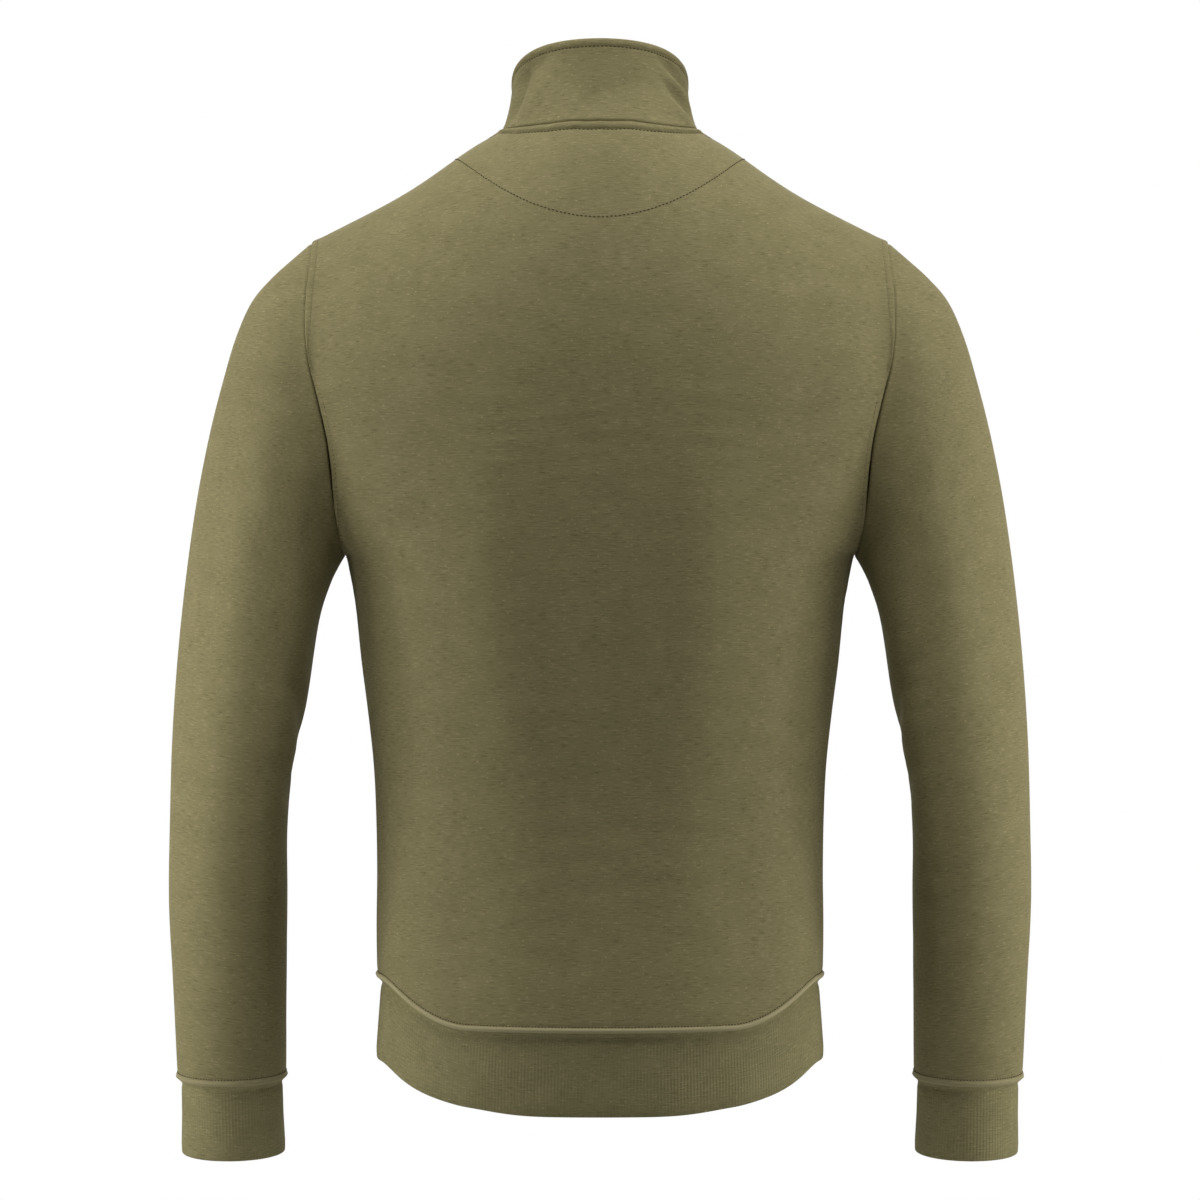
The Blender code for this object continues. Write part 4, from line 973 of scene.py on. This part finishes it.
CHAIN_HALF, CHAIN_THICK = 0.003, 0.0024
TAPE_THICK, TAPE_OUT = 0.0008, 0.0125
CHAIN_SHARE, ZIP_EASE = 0.85, 12
SLIT_STEPS, THICKER_BEFORE, THICKER_OVER = 60, 8, 14
slit_rows = np.linspace(ZIP_END_ROW, 0, SLIT_STEPS + 1)[:-1]


def slit_line(edge):
    """Points and outward ways up the LEFT or RIGHT edge of the opening, and how thick its cloth is."""
    below_collar = read_grid(front_cloth, front_rows, front_columns, slit_rows, -edge * SLIT_COLUMN)
    cloth = np.concatenate([below_collar, collar_cloth[SEAM_ROWS:-1, 0 if edge == LEFT else -1]])
    thicker = np.clip((np.arange(len(cloth)) - SLIT_STEPS + THICKER_BEFORE) / THICKER_OVER, 0, 1)
    thick = FLEECE_THICK + (COLLAR_THICK - FLEECE_THICK) * thicker
    return cloth[:, :3], unit(cloth[:, 3:] * (0, 1, 1)), thick


def eased(line, times):
    """A line with its kinks eased out."""
    line = line.copy()
    for _ in range(times):
        line[1:-1] += 0.5 * ((line[:-2] + line[2:]) / 2 - line[1:-1])
    return line


weave = (0.0005, 0.0009), 1.0, (0.060, 0.054, 0.026), (0.120, 0.108, 0.058)
tape_cloth, *_ = flecked_material("olive_tape", {"Roughness": 0.8}, *weave, on_cloth=True)
TAPE_DIP = 0.10
TAPE_COLUMNS = np.array([CHAIN_HALF + SEAM_GAP, 0.0045, ZIP_HALF, 0.0080, 0.0100, TAPE_OUT])

left_line, left_way, left_thick = slit_line(LEFT)
for name, edge in (("left", LEFT), ("right", RIGHT)):
    line, way, thick = slit_line(edge)
    line, way = eased(line, ZIP_EASE), eased(way, ZIP_EASE)
    down_in = np.maximum(TAPE_COLUMNS - ZIP_HALF, 0) * TAPE_DIP
    tape_grid = line[:, None] - way[:, None] * (thick[:, None] + SEAM_GAP + down_in)[..., None]
    tape_grid[:, :, 0] = edge * TAPE_COLUMNS
    made = shell(f"tape_{name}", faced(tape_grid, ways=way[:, None])[:, ::edge], TAPE_THICK, tape_cloth)
    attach(made, "garment")
    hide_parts(f"zip_tape_{name}")

coil, *_ = new_material("olive_coil", {"Base Color": (0.075, 0.066, 0.033, 1.0), "Roughness": 0.38})
COIL_PITCH, TOOTH_HALF_TALL, COIL_FROM, COIL_SHORT = 0.00127, 0.00048, 0.0012, 0.0004
# each ring of a tooth: how far out it lies, how tall it is and how thick
TOOTH_RINGS = (-0.0009, 0.35, 0.5), (-0.0006, 1.0, 0.85), (0.0018, 0.8, 1.0), (0.0027, 0.7, 0.6)
TOOTH_TURNS = np.radians((90, 30, -30, -90, -150, 150))
chain_line = eased(left_line - left_way * (left_thick + SEAM_GAP + TAPE_THICK / 2)[:, None], ZIP_EASE)
chain_line[:, 0] = 0
chain_way = eased(left_way, ZIP_EASE)
chain_long = lengths_along(chain_line)
chain_top = chain_long[SLIT_STEPS + np.searchsorted(shares[SEAM_ROWS:], CHAIN_SHARE)] - COIL_SHORT
one_tooth = tube_faces(len(TOOTH_RINGS), len(TOOTH_TURNS))
tooth_verts, tooth_faces = [], []
for number, at in enumerate(np.arange(COIL_FROM, chain_top, COIL_PITCH / 2)):
    edge = LEFT if number % 2 else RIGHT
    middle, out = read_line(chain_line, chain_long, at), read_line(chain_way, chain_long, at)
    rise = unit(np.cross(out, (1.0, 0, 0)))
    first = len(tooth_verts)
    for x, tall, front in TOOTH_RINGS:
        for turn in TOOTH_TURNS:
            lift = out * math.sin(turn) * CHAIN_THICK / 2 * front
            lift += rise * math.cos(turn) * TOOTH_HALF_TALL * tall
            tooth_verts.append(middle + lift + (edge * x, 0, 0))
    tooth_faces += [[first + i for i in face[::edge]] for face in one_tooth]
teeth = solid_object("coil_teeth", tooth_verts, tooth_faces, coil)
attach(teeth, "garment")
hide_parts("zip_chain")

plating = (0.0020, 0.0020), 3.0, (0.150, 0.143, 0.128), (0.260, 0.250, 0.230)
POLISHED, WORN = 0.18, 0.20
nickel, tree, shader, wear = flecked_material("dark_nickel", {"Metallic": 1.0}, *plating)
tree.links.new(weighted(tree, POLISHED, (wear, WORN)), shader.inputs["Roughness"])
for name in ("zip_slider", "zip_pull", "zip_stop"):
    metal = bpy.data.objects[name]
    metal.data.materials.clear()
    metal.data.materials.append(nickel)


# Room
#
# The garment hangs in a white room over a pale floor. A wide soft light and a narrow near one stand to each
# side, a strip with a grid lights the back of each sleeve, two hang above and behind it, and one fills its
# front.

camera = new_object("camera", bpy.data.cameras.new("camera"))
camera.location = (0.0, 2.5, -0.338)
camera.rotation_euler = (math.radians(90), 0.0, math.radians(180))
camera.data.lens = 104.17
camera.data.sensor_width = 36.0
camera.data.clip_end = 50.0
bpy.context.scene.camera = camera


def soft_light(name, place, aim, size, power, spread=180):
    """A rectangular soft light at a place, turned towards a point. It stays out of the picture."""
    lamp = bpy.data.lights.new(name, "AREA")
    lamp.shape = "RECTANGLE"
    lamp.size, lamp.size_y = size
    lamp.energy = power
    lamp.spread = math.radians(spread)
    made = new_object(name, lamp)
    made.location = place
    made.rotation_euler = (Vector(aim) - Vector(place)).to_track_quat("-Z", "Y").to_euler()
    made.visible_camera = False


for name, side, power, sleeve_power in (("left", LEFT, 19, 0.18), ("right", RIGHT, 17.5, 0.14)):
    soft_light(f"side_light_{name}", (side * 2.7, 0.0, 0.0), (0, 0, -0.38), (1.0, 1.8), power)
    sleeve_light = (side * 0.62, 0.62, -0.44), (side * 0.27, 0.03, -0.44)
    soft_light(f"sleeve_light_{name}", *sleeve_light, (0.15, 0.7), sleeve_power, spread=45)
    soft_light(f"near_light_{name}", (side * 0.95, 0.27, -0.38), (side * 0.2, 0, -0.38), (0.4, 0.8), 3.8)
soft_light("top_light", (0.0, 0.3, 2.3), (0, 0, -0.2), (1.6, 0.8), 34)
soft_light("rear_light", (0.0, 0.52, 0.64), (0, 0.05, 0.0), (0.8, 0.3), 4.7)
soft_light("front_light", (0.0, -2.6, 0.9), (0, 0, -0.3), (1.8, 1.4), 30)


def seen_ray(tree):
    """1 for rays that show a thing: the camera's, and those that polished or clear things show."""
    rays = tree.nodes.new("ShaderNodeLightPath")
    seen = math_node(tree, "MAXIMUM", rays.outputs["Is Camera Ray"], rays.outputs["Is Glossy Ray"])
    return math_node(tree, "MAXIMUM", seen, rays.outputs["Is Transmission Ray"])


FLOOR_HALF, FLOOR_Z = 4, -1.6
FLOOR_WHITE_FROM, FLOOR_WHITE_TO, FLOOR_WHITE = 1.7, 3.4, 0.80
matt = {"Base Color": (0.80, 0.80, 0.79, 1.0), "Roughness": 0.9}
floor_paint, tree, shader = new_material("floor_paint", matt)
glow = tree.nodes.new("ShaderNodeEmission")
reach = tree.nodes.new("ShaderNodeVectorMath")
reach.operation = "LENGTH"
tree.links.new(tree.nodes.new("ShaderNodeTexCoord").outputs["Object"], reach.inputs[0])
fade = tree.nodes.new("ShaderNodeMapRange")
fade.interpolation_type = "SMOOTHSTEP"
fade.inputs["From Min"].default_value = FLOOR_WHITE_FROM
fade.inputs["From Max"].default_value = FLOOR_WHITE_TO
fade.inputs["To Min"].default_value = FLOOR_WHITE
tree.links.new(reach.outputs["Value"], fade.inputs["Value"])
shown = tree.nodes.new("ShaderNodeMixShader")
whiteness = math_node(tree, "MULTIPLY", seen_ray(tree), fade.outputs["Result"])
for socket, given in zip(shown.inputs, (whiteness, shader.outputs[0], glow.outputs[0])):
    tree.links.new(given, socket)
tree.links.new(shown.outputs[0], tree.nodes["Material Output"].inputs[0])
corners = [(x * FLOOR_HALF, y * FLOOR_HALF, FLOOR_Z) for x, y in ((-1, -1), (1, -1), (1, 1), (-1, 1))]
floor = solid_object("floor", corners, [(0, 1, 2, 3)], floor_paint)

world = bpy.data.worlds.new("white_room")
bpy.context.scene.world = world
world.use_nodes = True
tree = world.node_tree
fill = tree.nodes["Background"]
fill.inputs["Color"].default_value = (1.0, 1.0, 1.0, 1.0)
ROOM_FILL = 0.02
tree.links.new(weighted(tree, ROOM_FILL, (seen_ray(tree), 1 - ROOM_FILL)), fill.inputs["Strength"])

bpy.context.scene.view_settings.view_transform = "Standard"
